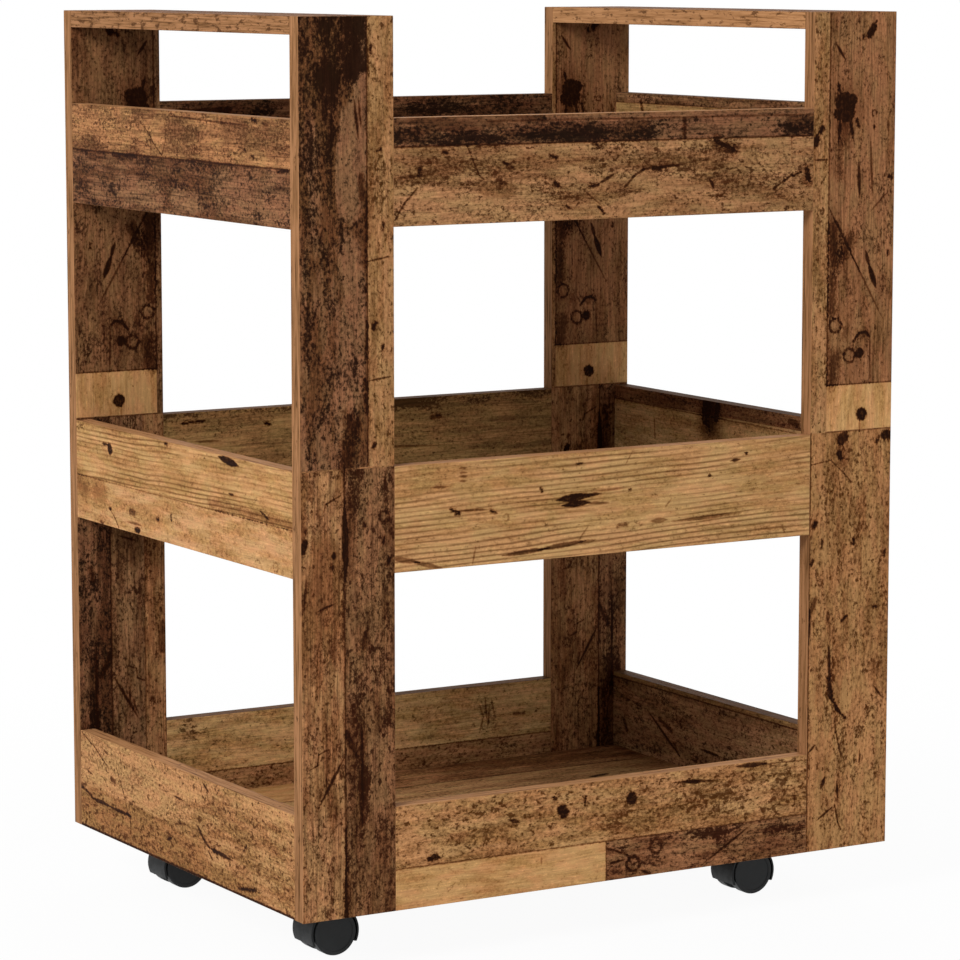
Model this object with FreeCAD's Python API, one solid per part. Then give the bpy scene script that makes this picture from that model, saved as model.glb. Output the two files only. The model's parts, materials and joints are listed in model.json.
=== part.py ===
import FreeCAD, Part
import math
import os

# Kitchen cart: a frame of flat boards with three trays and two end handles, on four swivel casters.
# Millimetres. X runs to the right, Y to the back, Z up. The origin is on the floor under the centre.

# Boards
OVERALL_WIDTH = 600.0
OVERALL_DEPTH = 450.0
POST_HEIGHT = 750.0
POST_WIDTH = 88.5
RAIL_HEIGHT = 89.5
HANDLE_GAP = 68.5  # finger room between a top side rail and the handle above it
BOARD = 15.0
EDGE_ROUND = 0.5

# Dowels, glued into the posts and into the ends of the rails and handles
DOWEL_DIAMETER = 8.0
DOWEL_LENGTH = 30.0
DOWEL_SPREAD = 50.0  # between the two dowels of one board end
DOWEL_CHAMFER = 0.8
GLUE_FIT = 0.05  # radial room in every drilled hole
HOLE_END_GAP = 0.5
BLIND_SKIN = 5.0  # wood left behind a hole that is drilled into a board's face

# Cam locks in the undersides of the shelves and handles, and their bolts
CAM_DIAMETER = 15.0
CAM_SETBACK = 24.0  # from the board's edge to the cam's centre
CAM_SKIN = 3.0  # wood left above a cam
CAM_INSET = 70.0  # from a rail's end to the nearest cam along it
CAM_SLOT_LENGTH = 9.0
CAM_SLOT_WIDTH = 1.4
CAM_SLOT_DEPTH = 1.6
BOLT_THREAD = 6.0
BOLT_SHANK = 4.6
BOLT_HEAD = 6.4
BOLT_HEAD_LENGTH = 3.0
BOLT_GAP = 0.4  # room round a bolt's head and shank

# Caster plates and their screws
CASTER_INSET = 83.0  # from the cart's outer faces to a caster's swivel axis
PLATE_THICK = 2.0
PLATE_EDGE = 5.0  # from a screw's centre to the plate's edge
PLATE_CORNER = 4.5
SCREW_PITCH = 28.0
SCREW_DIAMETER = 3.5
SCREW_HEAD = 7.0
SCREW_HEAD_HEIGHT = 2.0
SCREW_SKIN = 3.0  # wood left above a screw's point
SCREW_POINT = 3.0
SCREW_SLOT_WIDTH = 1.0
SCREW_SLOT_DEPTH = 1.1

# Caster wheels
WHEEL_DIAMETER = 40.0
WHEEL_WIDTH = 11.5
WHEEL_DISC = 2.5
WHEEL_RIM = 3.5
WHEEL_ROUND = 1.2
WHEEL_DISH = 0.4
HUB_DIAMETER = 11.0
AXLE_DIAMETER = 6.0
AXLE_END_GAP = 0.3
RUN_FIT = 0.05  # radial room of a turning fit

# Caster hoods and swivel pins
CASTER_TRAIL = 17.0  # from the swivel axis to the wheels' axle
HOOD_GAP = 1.4
HOOD_WALL = 1.8
HOOD_SETBACK = 0.6  # the wheels' faces stand this far proud of the hood
HOOD_SIDE_GAP = 0.5
HOOD_END_ANGLE = 25.0  # the hood ends this far below the axle, in degrees
HOOD_ROUND = 0.4
HEAD_CLEARANCE = 2.8  # between the hood's top and the screw heads
PIN_DIAMETER = 8.0
PIN_REACH = 20.0
PIN_FLANGE_OVERHANG = 2.0
PIN_FLANGE_THICK = 1.0
SOCKET_WALL = 2.0
COLUMN_WALL = 2.5
SWIVEL_GAP = 0.4
CLIP_THICK = 0.8
CLIP_BITE = 1.0  # depth of the pin's groove
CLIP_PROUD = 0.8
CLIP_RISE = 4.0  # from the pin's foot to the clip
CLIP_GAP = 0.3
CLIP_MOUTH_ANGLE = 70.0

# Sizes that follow from the ones above
wheel_radius = WHEEL_DIAMETER / 2
hood_inner = wheel_radius + HOOD_GAP
hood_outer = hood_inner + HOOD_WALL
plate_size = SCREW_PITCH + 2 * PLATE_EDGE
caster_height = wheel_radius + hood_outer + HEAD_CLEARANCE + SCREW_HEAD_HEIGHT + PLATE_THICK
web_half = PIN_DIAMETER / 2 + SOCKET_WALL
wheel_inner_face = web_half + HOOD_SIDE_GAP
wheel_outer_face = wheel_inner_face + WHEEL_WIDTH
hood_half = wheel_outer_face - HOOD_SETBACK
x_outer = OVERALL_WIDTH / 2
y_outer = OVERALL_DEPTH / 2
x_inner = x_outer - BOARD
y_inner = y_outer - BOARD
x_window = x_outer - POST_WIDTH
frame_bottom = caster_height
frame_top = frame_bottom + POST_HEIGHT
handle_bottom = frame_top - BOARD
tier_pitch = (POST_HEIGHT - BOARD - HANDLE_GAP - RAIL_HEIGHT) / 2
tiers = {name: frame_bottom + step * tier_pitch for step, name in enumerate(("bottom", "middle", "top"))}
face_hole = BOARD - BLIND_SKIN
cam_depth = BOARD - CAM_SKIN

X = FreeCAD.Vector(1, 0, 0)
Y = FreeCAD.Vector(0, 1, 0)
Z = FreeCAD.Vector(0, 0, 1)
SIDES = {"left": -1, "right": 1}
ENDS = {"front": -1, "rear": 1}

boards = {}
holes = {}
groups = {
    name: []
    for name in (
        "rail_dowels",
        "handle_dowels",
        "shelf_cam_bolts",
        "shelf_cam_locks",
        "handle_cam_bolts",
        "handle_cam_locks",
        "caster_screws",
        "caster_pin_clips",
    )
}
nodes = {}


def rod(start, direction, length, radius):
    """A round bar from start along direction."""
    return Part.makeCylinder(radius, length, start, direction)


def box(a, b):
    """A box between two opposite corners, given in any order."""
    low = FreeCAD.Vector(*(min(p, q) for p, q in zip(a, b)))
    size = [abs(p - q) for p, q in zip(a, b)]
    return Part.makeBox(*size, low)


def rims(bar):
    """The round edges of a round bar."""
    return [edge for edge in bar.Edges if edge.Closed and len(edge.Vertexes) == 1]


def add_board(name, a, b):
    """A board between two opposite corners, with its edges eased."""
    plain = box(a, b)
    boards[name] = plain.makeFillet(EDGE_ROUND, plain.Edges)
    holes[name] = []


def add_dowel(group, post, board, point, direction, depth):
    """A dowel that goes depth into a post and the rest of its length along direction into a board."""
    start = point - direction * depth
    dowel = rod(start, direction, DOWEL_LENGTH, DOWEL_DIAMETER / 2)
    groups[group].append(dowel.makeChamfer(DOWEL_CHAMFER, rims(dowel)))
    hole = rod(start, direction, DOWEL_LENGTH + HOLE_END_GAP, DOWEL_DIAMETER / 2 + GLUE_FIT)
    holes[post].append(hole)
    holes[board].append(hole)


def cross_slot(centre, length, width, depth):
    """The cutter of a cross recess that opens downwards at centre."""
    bars = [
        box(centre - X * (a / 2) - Y * (b / 2), centre + X * (a / 2) + Y * (b / 2) + Z * depth)
        for a, b in ((length, width), (width, length))
    ]
    return bars[0].fuse(bars[1])


def add_cam(kind, board, mate, point, inward):
    """A cam lock in a board's underside, and its bolt in the mate's face, where the two meet at point."""
    centre = point + inward * CAM_SETBACK
    foot = centre - Z * (BOARD / 2)
    bolt_start = point - inward * face_hole
    head_start = centre - inward * (BOLT_HEAD_LENGTH / 2)
    tunnel = BOLT_HEAD / 2 + BOLT_GAP

    holes[mate].append(rod(bolt_start, inward, face_hole, BOLT_THREAD / 2 + GLUE_FIT))
    holes[board].append(rod(point, inward, CAM_SETBACK, tunnel))
    holes[board].append(rod(foot, Z, cam_depth, CAM_DIAMETER / 2))

    thread = rod(bolt_start, inward, face_hole, BOLT_THREAD / 2)
    shank = rod(point, inward, CAM_SETBACK, BOLT_SHANK / 2)
    head = rod(head_start, inward, BOLT_HEAD_LENGTH, BOLT_HEAD / 2)
    groups[f"{kind}_cam_bolts"].append(thread.fuse([shank, head]).removeSplitter())

    pocket_end = centre + inward * (BOLT_HEAD_LENGTH / 2 + BOLT_GAP)
    pocket = rod(pocket_end, -inward, CAM_DIAMETER, tunnel)
    slot = cross_slot(foot, CAM_SLOT_LENGTH, CAM_SLOT_WIDTH, CAM_SLOT_DEPTH)
    cam = rod(foot, Z, cam_depth, CAM_DIAMETER / 2 - GLUE_FIT)
    groups[f"{kind}_cam_locks"].append(cam.cut([pocket, slot]))


def make_boards():
    """Posts, handles, shelves and rails, undrilled."""
    for end, e in ENDS.items():
        for side, s in SIDES.items():
            a = (s * x_outer, e * y_outer, frame_bottom)
            b = (s * x_window, e * y_inner, frame_top)
            add_board(f"{end}_{side}_post", a, b)
    for side, s in SIDES.items():
        a = (s * x_outer, -y_inner, handle_bottom)
        b = (s * x_window, y_inner, frame_top)
        add_board(f"{side}_handle", a, b)
    for tier, low in tiers.items():
        high = low + RAIL_HEIGHT
        add_board(f"{tier}_shelf", (-x_inner, -y_inner, low), (x_inner, y_inner, low + BOARD))
        for end, e in ENDS.items():
            add_board(f"{tier}_{end}_rail", (-x_window, e * y_outer, low), (x_window, e * y_inner, high))
        for side, s in SIDES.items():
            add_board(f"{tier}_{side}_rail", (s * x_outer, -y_inner, low), (s * x_inner, y_inner, high))


def make_dowels():
    """Two dowels in each end of every rail and handle."""
    for offset in (-DOWEL_SPREAD / 2, DOWEL_SPREAD / 2):
        for end, e in ENDS.items():
            for side, s in SIDES.items():
                post = f"{end}_{side}_post"
                for tier, low in tiers.items():
                    height = low + RAIL_HEIGHT / 2 + offset
                    joint = FreeCAD.Vector(s * x_window, e * (y_outer - BOARD / 2), height)
                    add_dowel("rail_dowels", post, f"{tier}_{end}_rail", joint, X * -s, DOWEL_LENGTH / 2)
                    joint = FreeCAD.Vector(s * (x_outer - BOARD / 2), e * y_inner, height)
                    add_dowel("rail_dowels", post, f"{tier}_{side}_rail", joint, Y * -e, face_hole)
                across = s * (x_outer - POST_WIDTH / 2) + offset
                joint = FreeCAD.Vector(across, e * y_inner, frame_top - BOARD / 2)
                add_dowel("handle_dowels", post, f"{side}_handle", joint, Y * -e, face_hole)


def make_cams():
    """Cam locks that draw the shelves to the rails and the handles to the posts."""
    for tier, low in tiers.items():
        middle = low + BOARD / 2
        for end, e in ENDS.items():
            for s in SIDES.values():
                point = FreeCAD.Vector(s * (x_window - CAM_INSET), e * y_inner, middle)
                add_cam("shelf", f"{tier}_shelf", f"{tier}_{end}_rail", point, Y * -e)
        for side, s in SIDES.items():
            point = FreeCAD.Vector(s * x_inner, 0, middle)
            add_cam("shelf", f"{tier}_shelf", f"{tier}_{side}_rail", point, X * -s)
    for side, s in SIDES.items():
        for end, e in ENDS.items():
            point = FreeCAD.Vector(s * (x_outer - POST_WIDTH / 2), e * y_inner, frame_top - BOARD / 2)
            add_cam("handle", f"{side}_handle", f"{end}_{side}_post", point, Y * -e)


def add_screw(at):
    """A pan-head screw through a caster plate, at a point on the bottom shelf's underside."""
    length = PLATE_THICK + BOARD - SCREW_SKIN
    seat = at - Z * PLATE_THICK
    foot = seat - Z * SCREW_HEAD_HEIGHT
    head = rod(foot, Z, SCREW_HEAD_HEIGHT, SCREW_HEAD / 2)
    lower_rim = min(rims(head), key=lambda edge: edge.BoundBox.ZMax)
    head = head.makeFillet(SCREW_HEAD_HEIGHT / 2, [lower_rim])
    shank = rod(seat, Z, length - SCREW_POINT, SCREW_DIAMETER / 2)
    point = Part.makeCone(SCREW_DIAMETER / 2, 0, SCREW_POINT, seat + Z * (length - SCREW_POINT), Z)
    slot = cross_slot(foot, SCREW_HEAD / 2, SCREW_SLOT_WIDTH, SCREW_SLOT_DEPTH)
    groups["caster_screws"].append(head.fuse([shank, point]).removeSplitter().cut(slot))
    depth = BOARD - SCREW_SKIN
    holes["bottom_shelf"].append(rod(at, Z, depth + HOLE_END_GAP, SCREW_DIAMETER / 2 + GLUE_FIT))


def make_plate(at, screw_points):
    """A caster's steel plate against the shelf's underside, with its screw holes and the pin's hole."""
    half = plate_size / 2
    plate = box(at - X * half - Y * half - Z * PLATE_THICK, at + X * half + Y * half)
    upright = [edge for edge in plate.Edges if edge.BoundBox.ZLength > PLATE_THICK / 2]
    plate = plate.makeFillet(PLATE_CORNER, upright)
    screw_hole = SCREW_DIAMETER / 2 + GLUE_FIT
    drills = [rod(p - Z * PLATE_THICK, Z, PLATE_THICK, screw_hole) for p in screw_points]
    drills.append(rod(at - Z * PLATE_THICK, Z, PLATE_THICK, PIN_DIAMETER / 2 + GLUE_FIT))
    return plate.cut(drills)


def make_pin(at):
    """The pin riveted into the plate, with its flange and the clip's groove, and the clip itself."""
    underside = at - Z * PLATE_THICK
    foot = underside - Z * PIN_REACH
    groove_floor = foot + Z * CLIP_RISE
    pin_radius = PIN_DIAMETER / 2
    flange_radius = pin_radius + PIN_FLANGE_OVERHANG
    flange = rod(underside - Z * PIN_FLANGE_THICK, Z, PIN_FLANGE_THICK, flange_radius)
    pin = rod(foot, Z, PIN_REACH + PLATE_THICK, pin_radius).fuse(flange).removeSplitter()
    groove = rod(groove_floor, Z, CLIP_THICK, pin_radius)
    groove = groove.cut(rod(groove_floor, Z, CLIP_THICK, pin_radius - CLIP_BITE))
    clip = rod(groove_floor, Z, CLIP_THICK, pin_radius + CLIP_PROUD)
    clip = clip.cut(rod(groove_floor, Z, CLIP_THICK, pin_radius - CLIP_BITE + GLUE_FIT))
    mouth = Part.makeCylinder(PIN_DIAMETER, CLIP_THICK, groove_floor, Z, CLIP_MOUTH_ANGLE)
    return pin.cut(groove), clip.cut(mouth)


def make_hood(at, axle):
    """The moulded hood: a web between the wheels, a cover over them and the column that takes the pin."""
    pin_radius = PIN_DIAMETER / 2
    underside = at - Z * PLATE_THICK
    foot = underside - Z * PIN_REACH
    column_top = underside.z - PIN_FLANGE_THICK - SWIVEL_GAP
    drum = rod(axle - Y * hood_half, Y, 2 * hood_half, hood_outer)
    drum = drum.makeFillet(HOOD_ROUND, rims(drum))
    column_foot = FreeCAD.Vector(at.x, at.y, axle.z)
    column = rod(column_foot, Z, column_top - axle.z, pin_radius + COLUMN_WALL)
    pockets = [
        rod(axle + Y * (web_half * e), Y * e, wheel_outer_face, hood_inner) for e in ENDS.values()
    ]
    reach = hood_outer + CASTER_TRAIL
    end_height = axle.z - hood_outer * math.sin(math.radians(HOOD_END_ANGLE))
    lowest = (axle.x - reach, at.y - reach, end_height - reach)
    below = box(lowest, (axle.x + reach, at.y + reach, end_height))
    socket = rod(foot - Z * CLIP_GAP, Z, PIN_REACH + CLIP_GAP, pin_radius + RUN_FIT)
    clip_room_floor = foot + Z * (CLIP_RISE - CLIP_GAP)
    clip_room = rod(clip_room_floor, Z, CLIP_THICK + 2 * CLIP_GAP, pin_radius + CLIP_PROUD + CLIP_GAP)
    axle_hole = rod(axle - Y * web_half, Y, 2 * web_half, AXLE_DIAMETER / 2 + GLUE_FIT)
    hood = drum.fuse(column).removeSplitter()
    return hood.cut([*pockets, below, socket, clip_room, axle_hole])


def make_wheel(axle, e):
    """One wheel of a caster: a tread, a hub and a closed outer disc with a shallow dish."""
    inner = axle + Y * (wheel_inner_face * e)
    outward = Y * e
    hollow = WHEEL_WIDTH - WHEEL_DISC
    drum = rod(inner, outward, WHEEL_WIDTH, wheel_radius)
    drum = drum.makeFillet(WHEEL_ROUND, rims(drum))
    rim_inner = wheel_radius - WHEEL_RIM
    cup = rod(inner, outward, hollow, rim_inner).cut(rod(inner, outward, hollow, HUB_DIAMETER / 2))
    bore = rod(inner, outward, hollow, AXLE_DIAMETER / 2 + RUN_FIT)
    dish = rod(inner + outward * (WHEEL_WIDTH - WHEEL_DISH), outward, WHEEL_DISH, rim_inner)
    return drum.cut([cup, bore, dish])


def make_caster(corner, s, e):
    """All pieces of the caster under one corner."""
    at = FreeCAD.Vector(s * (x_outer - CASTER_INSET), e * (y_outer - CASTER_INSET), frame_bottom)
    axle = FreeCAD.Vector(at.x - CASTER_TRAIL, at.y, wheel_radius)
    steps = (-SCREW_PITCH / 2, SCREW_PITCH / 2)
    screw_points = [at + X * a + Y * b for a in steps for b in steps]
    for point in screw_points:
        add_screw(point)
    nodes[f"{corner}_caster_plate"] = make_plate(at, screw_points)
    nodes[f"{corner}_caster_pin"], clip = make_pin(at)
    groups["caster_pin_clips"].append(clip)
    nodes[f"{corner}_caster_hood"] = make_hood(at, axle)
    axle_half = wheel_outer_face - WHEEL_DISC - AXLE_END_GAP
    nodes[f"{corner}_caster_axle"] = rod(axle - Y * axle_half, Y, 2 * axle_half, AXLE_DIAMETER / 2)
    for end, side in ENDS.items():
        nodes[f"{corner}_caster_{end}_wheel"] = make_wheel(axle, side)


make_boards()
make_dowels()
make_cams()
for end, e in ENDS.items():
    for side, s in SIDES.items():
        make_caster(f"{end}_{side}", s, e)
for name, board in boards.items():
    nodes[name] = board.cut(holes[name]) if holes[name] else board
for name, solids in groups.items():
    nodes[name] = Part.makeCompound(solids)

os.makedirs("parts", exist_ok=True)
for name, shape in nodes.items():
    shape.exportStep(f"parts/{name}.step")
    print(name, len(shape.Solids), shape.isValid(), round(shape.Volume))
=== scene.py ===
"""Looks of a kitchen cart: old-wood decor on flat boards, black twin-wheel casters and zinc hardware."""

import json
import logging
import math
from dataclasses import asdict, dataclass, replace
from enum import Enum
from itertools import product
from typing import Optional, Union

import bpy
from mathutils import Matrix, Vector


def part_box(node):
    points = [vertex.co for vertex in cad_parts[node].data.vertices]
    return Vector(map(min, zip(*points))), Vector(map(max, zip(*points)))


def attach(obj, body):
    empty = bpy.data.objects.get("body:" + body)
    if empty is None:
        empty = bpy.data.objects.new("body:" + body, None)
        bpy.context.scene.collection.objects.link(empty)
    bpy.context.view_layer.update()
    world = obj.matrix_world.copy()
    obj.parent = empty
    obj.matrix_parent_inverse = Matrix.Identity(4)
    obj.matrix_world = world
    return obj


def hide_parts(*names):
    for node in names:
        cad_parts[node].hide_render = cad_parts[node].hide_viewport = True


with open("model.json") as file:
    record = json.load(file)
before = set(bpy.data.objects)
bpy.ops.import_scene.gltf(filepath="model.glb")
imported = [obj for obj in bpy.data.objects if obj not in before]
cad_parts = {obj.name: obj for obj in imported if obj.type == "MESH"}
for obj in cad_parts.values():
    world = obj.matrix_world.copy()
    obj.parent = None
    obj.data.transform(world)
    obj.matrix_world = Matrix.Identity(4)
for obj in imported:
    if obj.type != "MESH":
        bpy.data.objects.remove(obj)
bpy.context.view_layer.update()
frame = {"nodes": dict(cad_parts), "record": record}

LOG = logging.getLogger("kitchen_cart")
MILLIMETRES = 1000.0  # in a metre
FLOAT, VECTOR, COLOUR = "NodeSocketFloat", "NodeSocketVector", "NodeSocketColor"

Material = bpy.types.Material
Socket = bpy.types.NodeSocket
Tree = bpy.types.NodeTree
Feed = Union[Socket, float, tuple]
Point = tuple[float, float]
Ramp = tuple[float, ...]  # two levels of a value and, if not 0 and 1, what they give
Colour = tuple[float, float, float, float]
WHITE: Colour = (1.0, 1.0, 1.0, 1.0)


def screen_colour(code: str) -> Colour:
    """Turns a screen colour into the linear one that shaders take, by the standard screen curve.

    Args:
        code: six hexadecimal digits, red first.

    Returns:
        The linear colour with full alpha.
    """
    shares = [int(code[i:i + 2], 16) / 255 for i in (0, 2, 4)]
    linear = [s / 12.92 if s <= 0.04045 else ((s + 0.055) / 1.055) ** 2.4 for s in shares]
    return (*linear, 1.0)


class Axis(Enum):
    """An axis of the cart's frame."""

    X = 0
    Y = 1
    Z = 2


class Effect(Enum):
    """What a mark does to the plank under it."""

    CUT = "a dark crack, hole or knot"
    STAIN = "draws dark stain in, or keeps it away"
    SPECKS = "draws specks in"
    TONE = "darkens or lightens the wood itself"


# Node benches and shared shader groups


@dataclass(frozen=True)
class Noise:
    """A kind of noise: the size of its lumps along, across and through, its detail and its roughness."""

    size: tuple[float, float, float]
    detail: float
    roughness: float


class Bench:
    """A node tree with short ways to add, feed and join its nodes."""

    def __init__(self, tree: Tree) -> None:
        """Keeps the tree to work on."""
        self.tree = tree

    def feed(self, socket: Socket, value: Feed) -> None:
        """Links a socket to another, or sets its plain value."""
        if isinstance(value, Socket):
            self.tree.links.new(value, socket)
        else:
            socket.default_value = value

    def node(self, kind: str, feeds: Optional[dict] = None, **settings: object) -> bpy.types.Node:
        """Adds a node.

        Args:
            kind: the node's type name.
            feeds: values or sockets by input name or index.
            settings: the node's own properties.

        Returns:
            The new node.
        """
        made = self.tree.nodes.new(kind)
        for name, value in settings.items():
            setattr(made, name, value)
        for key, value in (feeds or {}).items():
            self.feed(made.inputs[key], value)
        return made

    def math(self, operation: str, *values: Feed) -> Socket:
        """Adds a Math node and returns its result."""
        return self.node("ShaderNodeMath", dict(enumerate(values)), operation=operation).outputs[0]

    def vector(self, operation: str, *values: Feed, result: str = "Vector") -> Socket:
        """Adds a Vector Math node and returns one of its results."""
        feeds = dict(enumerate(values))
        return self.node("ShaderNodeVectorMath", feeds, operation=operation).outputs[result]

    def scaled(self, vector: Feed, factor: Feed) -> Socket:
        """Returns a vector or colour times a number."""
        return self.node("ShaderNodeVectorMath", {0: vector, "Scale": factor}, operation="SCALE").outputs[0]

    def blend(self, share: Feed, first: Feed, second: Feed, kind: str = "RGBA") -> Socket:
        """Mixes two colours (RGBA) or two vectors (VECTOR) by a share of the second."""
        at_first, at_second, at_result = {"RGBA": (6, 7, 2), "VECTOR": (4, 5, 1)}[kind]
        feeds = {0: share, at_first: first, at_second: second}
        return self.node("ShaderNodeMix", feeds, data_type=kind).outputs[at_result]

    def ramp(self, value: Feed, low: Feed, high: Feed, start: Feed = 0.0, end: Feed = 1.0) -> Socket:
        """Eases a value from start at low to end at high, and holds it beyond them."""
        feeds = dict(enumerate((value, low, high, start, end)))
        made = self.node("ShaderNodeMapRange", feeds, interpolation_type="SMOOTHSTEP", clamp=False)
        return made.outputs[0]

    def noise(self, place: Feed, kind: Noise) -> Socket:
        """Adds noise whose lumps are measured in the place's units."""
        spread = self.vector("DIVIDE", place, kind.size)
        feeds = {"Vector": spread, "Scale": 1.0, "Detail": kind.detail, "Roughness": kind.roughness}
        return self.node("ShaderNodeTexNoise", feeds, noise_dimensions="3D").outputs[0]

    def split(self, vector: Feed) -> list[Socket]:
        """Returns the three parts of a vector."""
        return list(self.node("ShaderNodeSeparateXYZ", {0: vector}).outputs)

    def join(self, *parts: Feed) -> Socket:
        """Returns the vector of three parts."""
        return self.node("ShaderNodeCombineXYZ", dict(enumerate(parts))).outputs[0]

    def call(self, group: Tree, feeds: dict) -> bpy.types.NodeOutputs:
        """Places a shader group, feeds it and returns its outputs."""
        return self.node("ShaderNodeGroup", feeds, node_tree=group).outputs


class SurfaceBench(Bench):
    """The nodes of a new material around its Principled shader."""

    def __init__(self, name: str) -> None:
        """Makes the material."""
        self.material = bpy.data.materials.new(name)
        self.material.use_nodes = True
        super().__init__(self.material.node_tree)
        self.shader = self.tree.nodes["Principled BSDF"]

    def dress(self, feeds: dict) -> None:
        """Feeds the shader's inputs by name."""
        for name, value in feeds.items():
            self.feed(self.shader.inputs[name], value)

    def relief(self, height: Socket, strength: float, distance: float) -> Socket:
        """Returns the normal of a bumpy skin, its height in metres."""
        feeds = {"Strength": strength, "Distance": distance, "Height": height}
        return self.node("ShaderNodeBump", feeds).outputs[0]


class SharedGroup:
    """A shader group with named inputs and outputs, built once."""

    def __init__(self, name: str, inputs: dict[str, str], outputs: dict[str, str]) -> None:
        """Makes the empty group.

        Args:
            name: the group's name.
            inputs: socket types by input name.
            outputs: socket types by output name.
        """
        self.tree = bpy.data.node_groups.new(name, "ShaderNodeTree")
        for way, sockets in (("INPUT", inputs), ("OUTPUT", outputs)):
            for socket, kind in sockets.items():
                self.tree.interface.new_socket(socket, in_out=way, socket_type=kind)
        self.bench = Bench(self.tree)
        self.given = self.bench.node("NodeGroupInput").outputs
        self._result = self.bench.node("NodeGroupOutput").inputs

    def give(self, **results: Socket) -> Tree:
        """Links the group's outputs by name and returns the finished tree."""
        for name, socket in results.items():
            self.bench.feed(self._result[name], socket)
        return self.tree


@dataclass(frozen=True)
class OldWood:
    """The features of old wood: noise in millimetres, how strong each is and at which levels it shows."""

    sway: Noise = Noise((140.0, 30.0, 30.0), 1.0, 0.5)
    sway_reach: float = 7.0
    tone: Noise = Noise((70.0, 14.0, 14.0), 6.0, 0.7)
    tone_pull: float = 0.3
    tone_ramp: Ramp = (0.38, 0.62)
    streak: Noise = Noise((110.0, 2.4, 9.0), 3.0, 0.65)
    streak_ramp: Ramp = (0.50, 0.68)
    ripple: Noise = Noise((420.0, 90.0, 90.0), 3.0, 0.5)
    ripple_turns: float = 6.0  # how far the noise shifts the ripple lines, in lines
    ripple_pitch: float = 4.6
    ripple_slope: float = 0.03
    ripple_sharpness: float = 2.6
    ripple_ramp: Ramp = (0.36, 0.60, 0.2, 0.72)
    ripple_relief: float = -0.5
    grit: Noise = Noise((4.0, 2.8, 5.0), 3.0, 0.8)
    grit_pull: float = 0.075
    grit_by_tone: float = 0.45
    grit_ramp: Ramp = (0.63, 0.99, 0.0, 0.95)
    glint_ramp: Ramp = (0.46, 0.28, 1.0, 1.32)  # light grains between the grit
    specks: Noise = Noise((5.6, 4.2, 9.0), 2.0, 0.55)
    specks_pull: float = 0.10
    specks_ramp: Ramp = (0.61, 0.70, 0.0, 0.88)
    stain: Noise = Noise((34.0, 14.0, 20.0), 3.0, 0.62)
    stain_pull: float = 0.16
    stain_by_grit: float = 1.1
    stain_ramp: Ramp = (1.07, 1.37, 0.0, 0.95)
    fibre: Noise = Noise((30.0, 1.5, 4.0), 3.0, 0.7)
    fibre_ramp: Ramp = (0.30, 0.70, -1.0, 1.0)
    fibre_contrast: float = 0.12
    fibre_by_streak: float = 0.36
    hue: Noise = Noise((30.0, 11.0, 11.0), 2.0, 0.6)
    hue_ramp: Ramp = (0.36, 0.64)
    redder: Colour = (1.04, 0.97, 0.90, 1.0)
    yellower: Colour = (0.97, 1.02, 0.90, 1.0)
    band: Noise = Noise((60.0, 2.2, 2.2), 4.0, 0.7)  # the band on the boards' edges
    band_brown_ramp: Ramp = (0.40, 0.60)
    band_dark_ramp: Ramp = (0.55, 0.68, 0.0, 0.7)
    chips: Noise = Noise((13.0, 4.5, 4.5), 4.0, 0.7)
    chips_pull: float = 0.06
    chips_ramp: Ramp = (0.60, 0.70, 0.0, 0.8)
    plank_rim: Ramp = (-0.3, 0.3)


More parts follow.
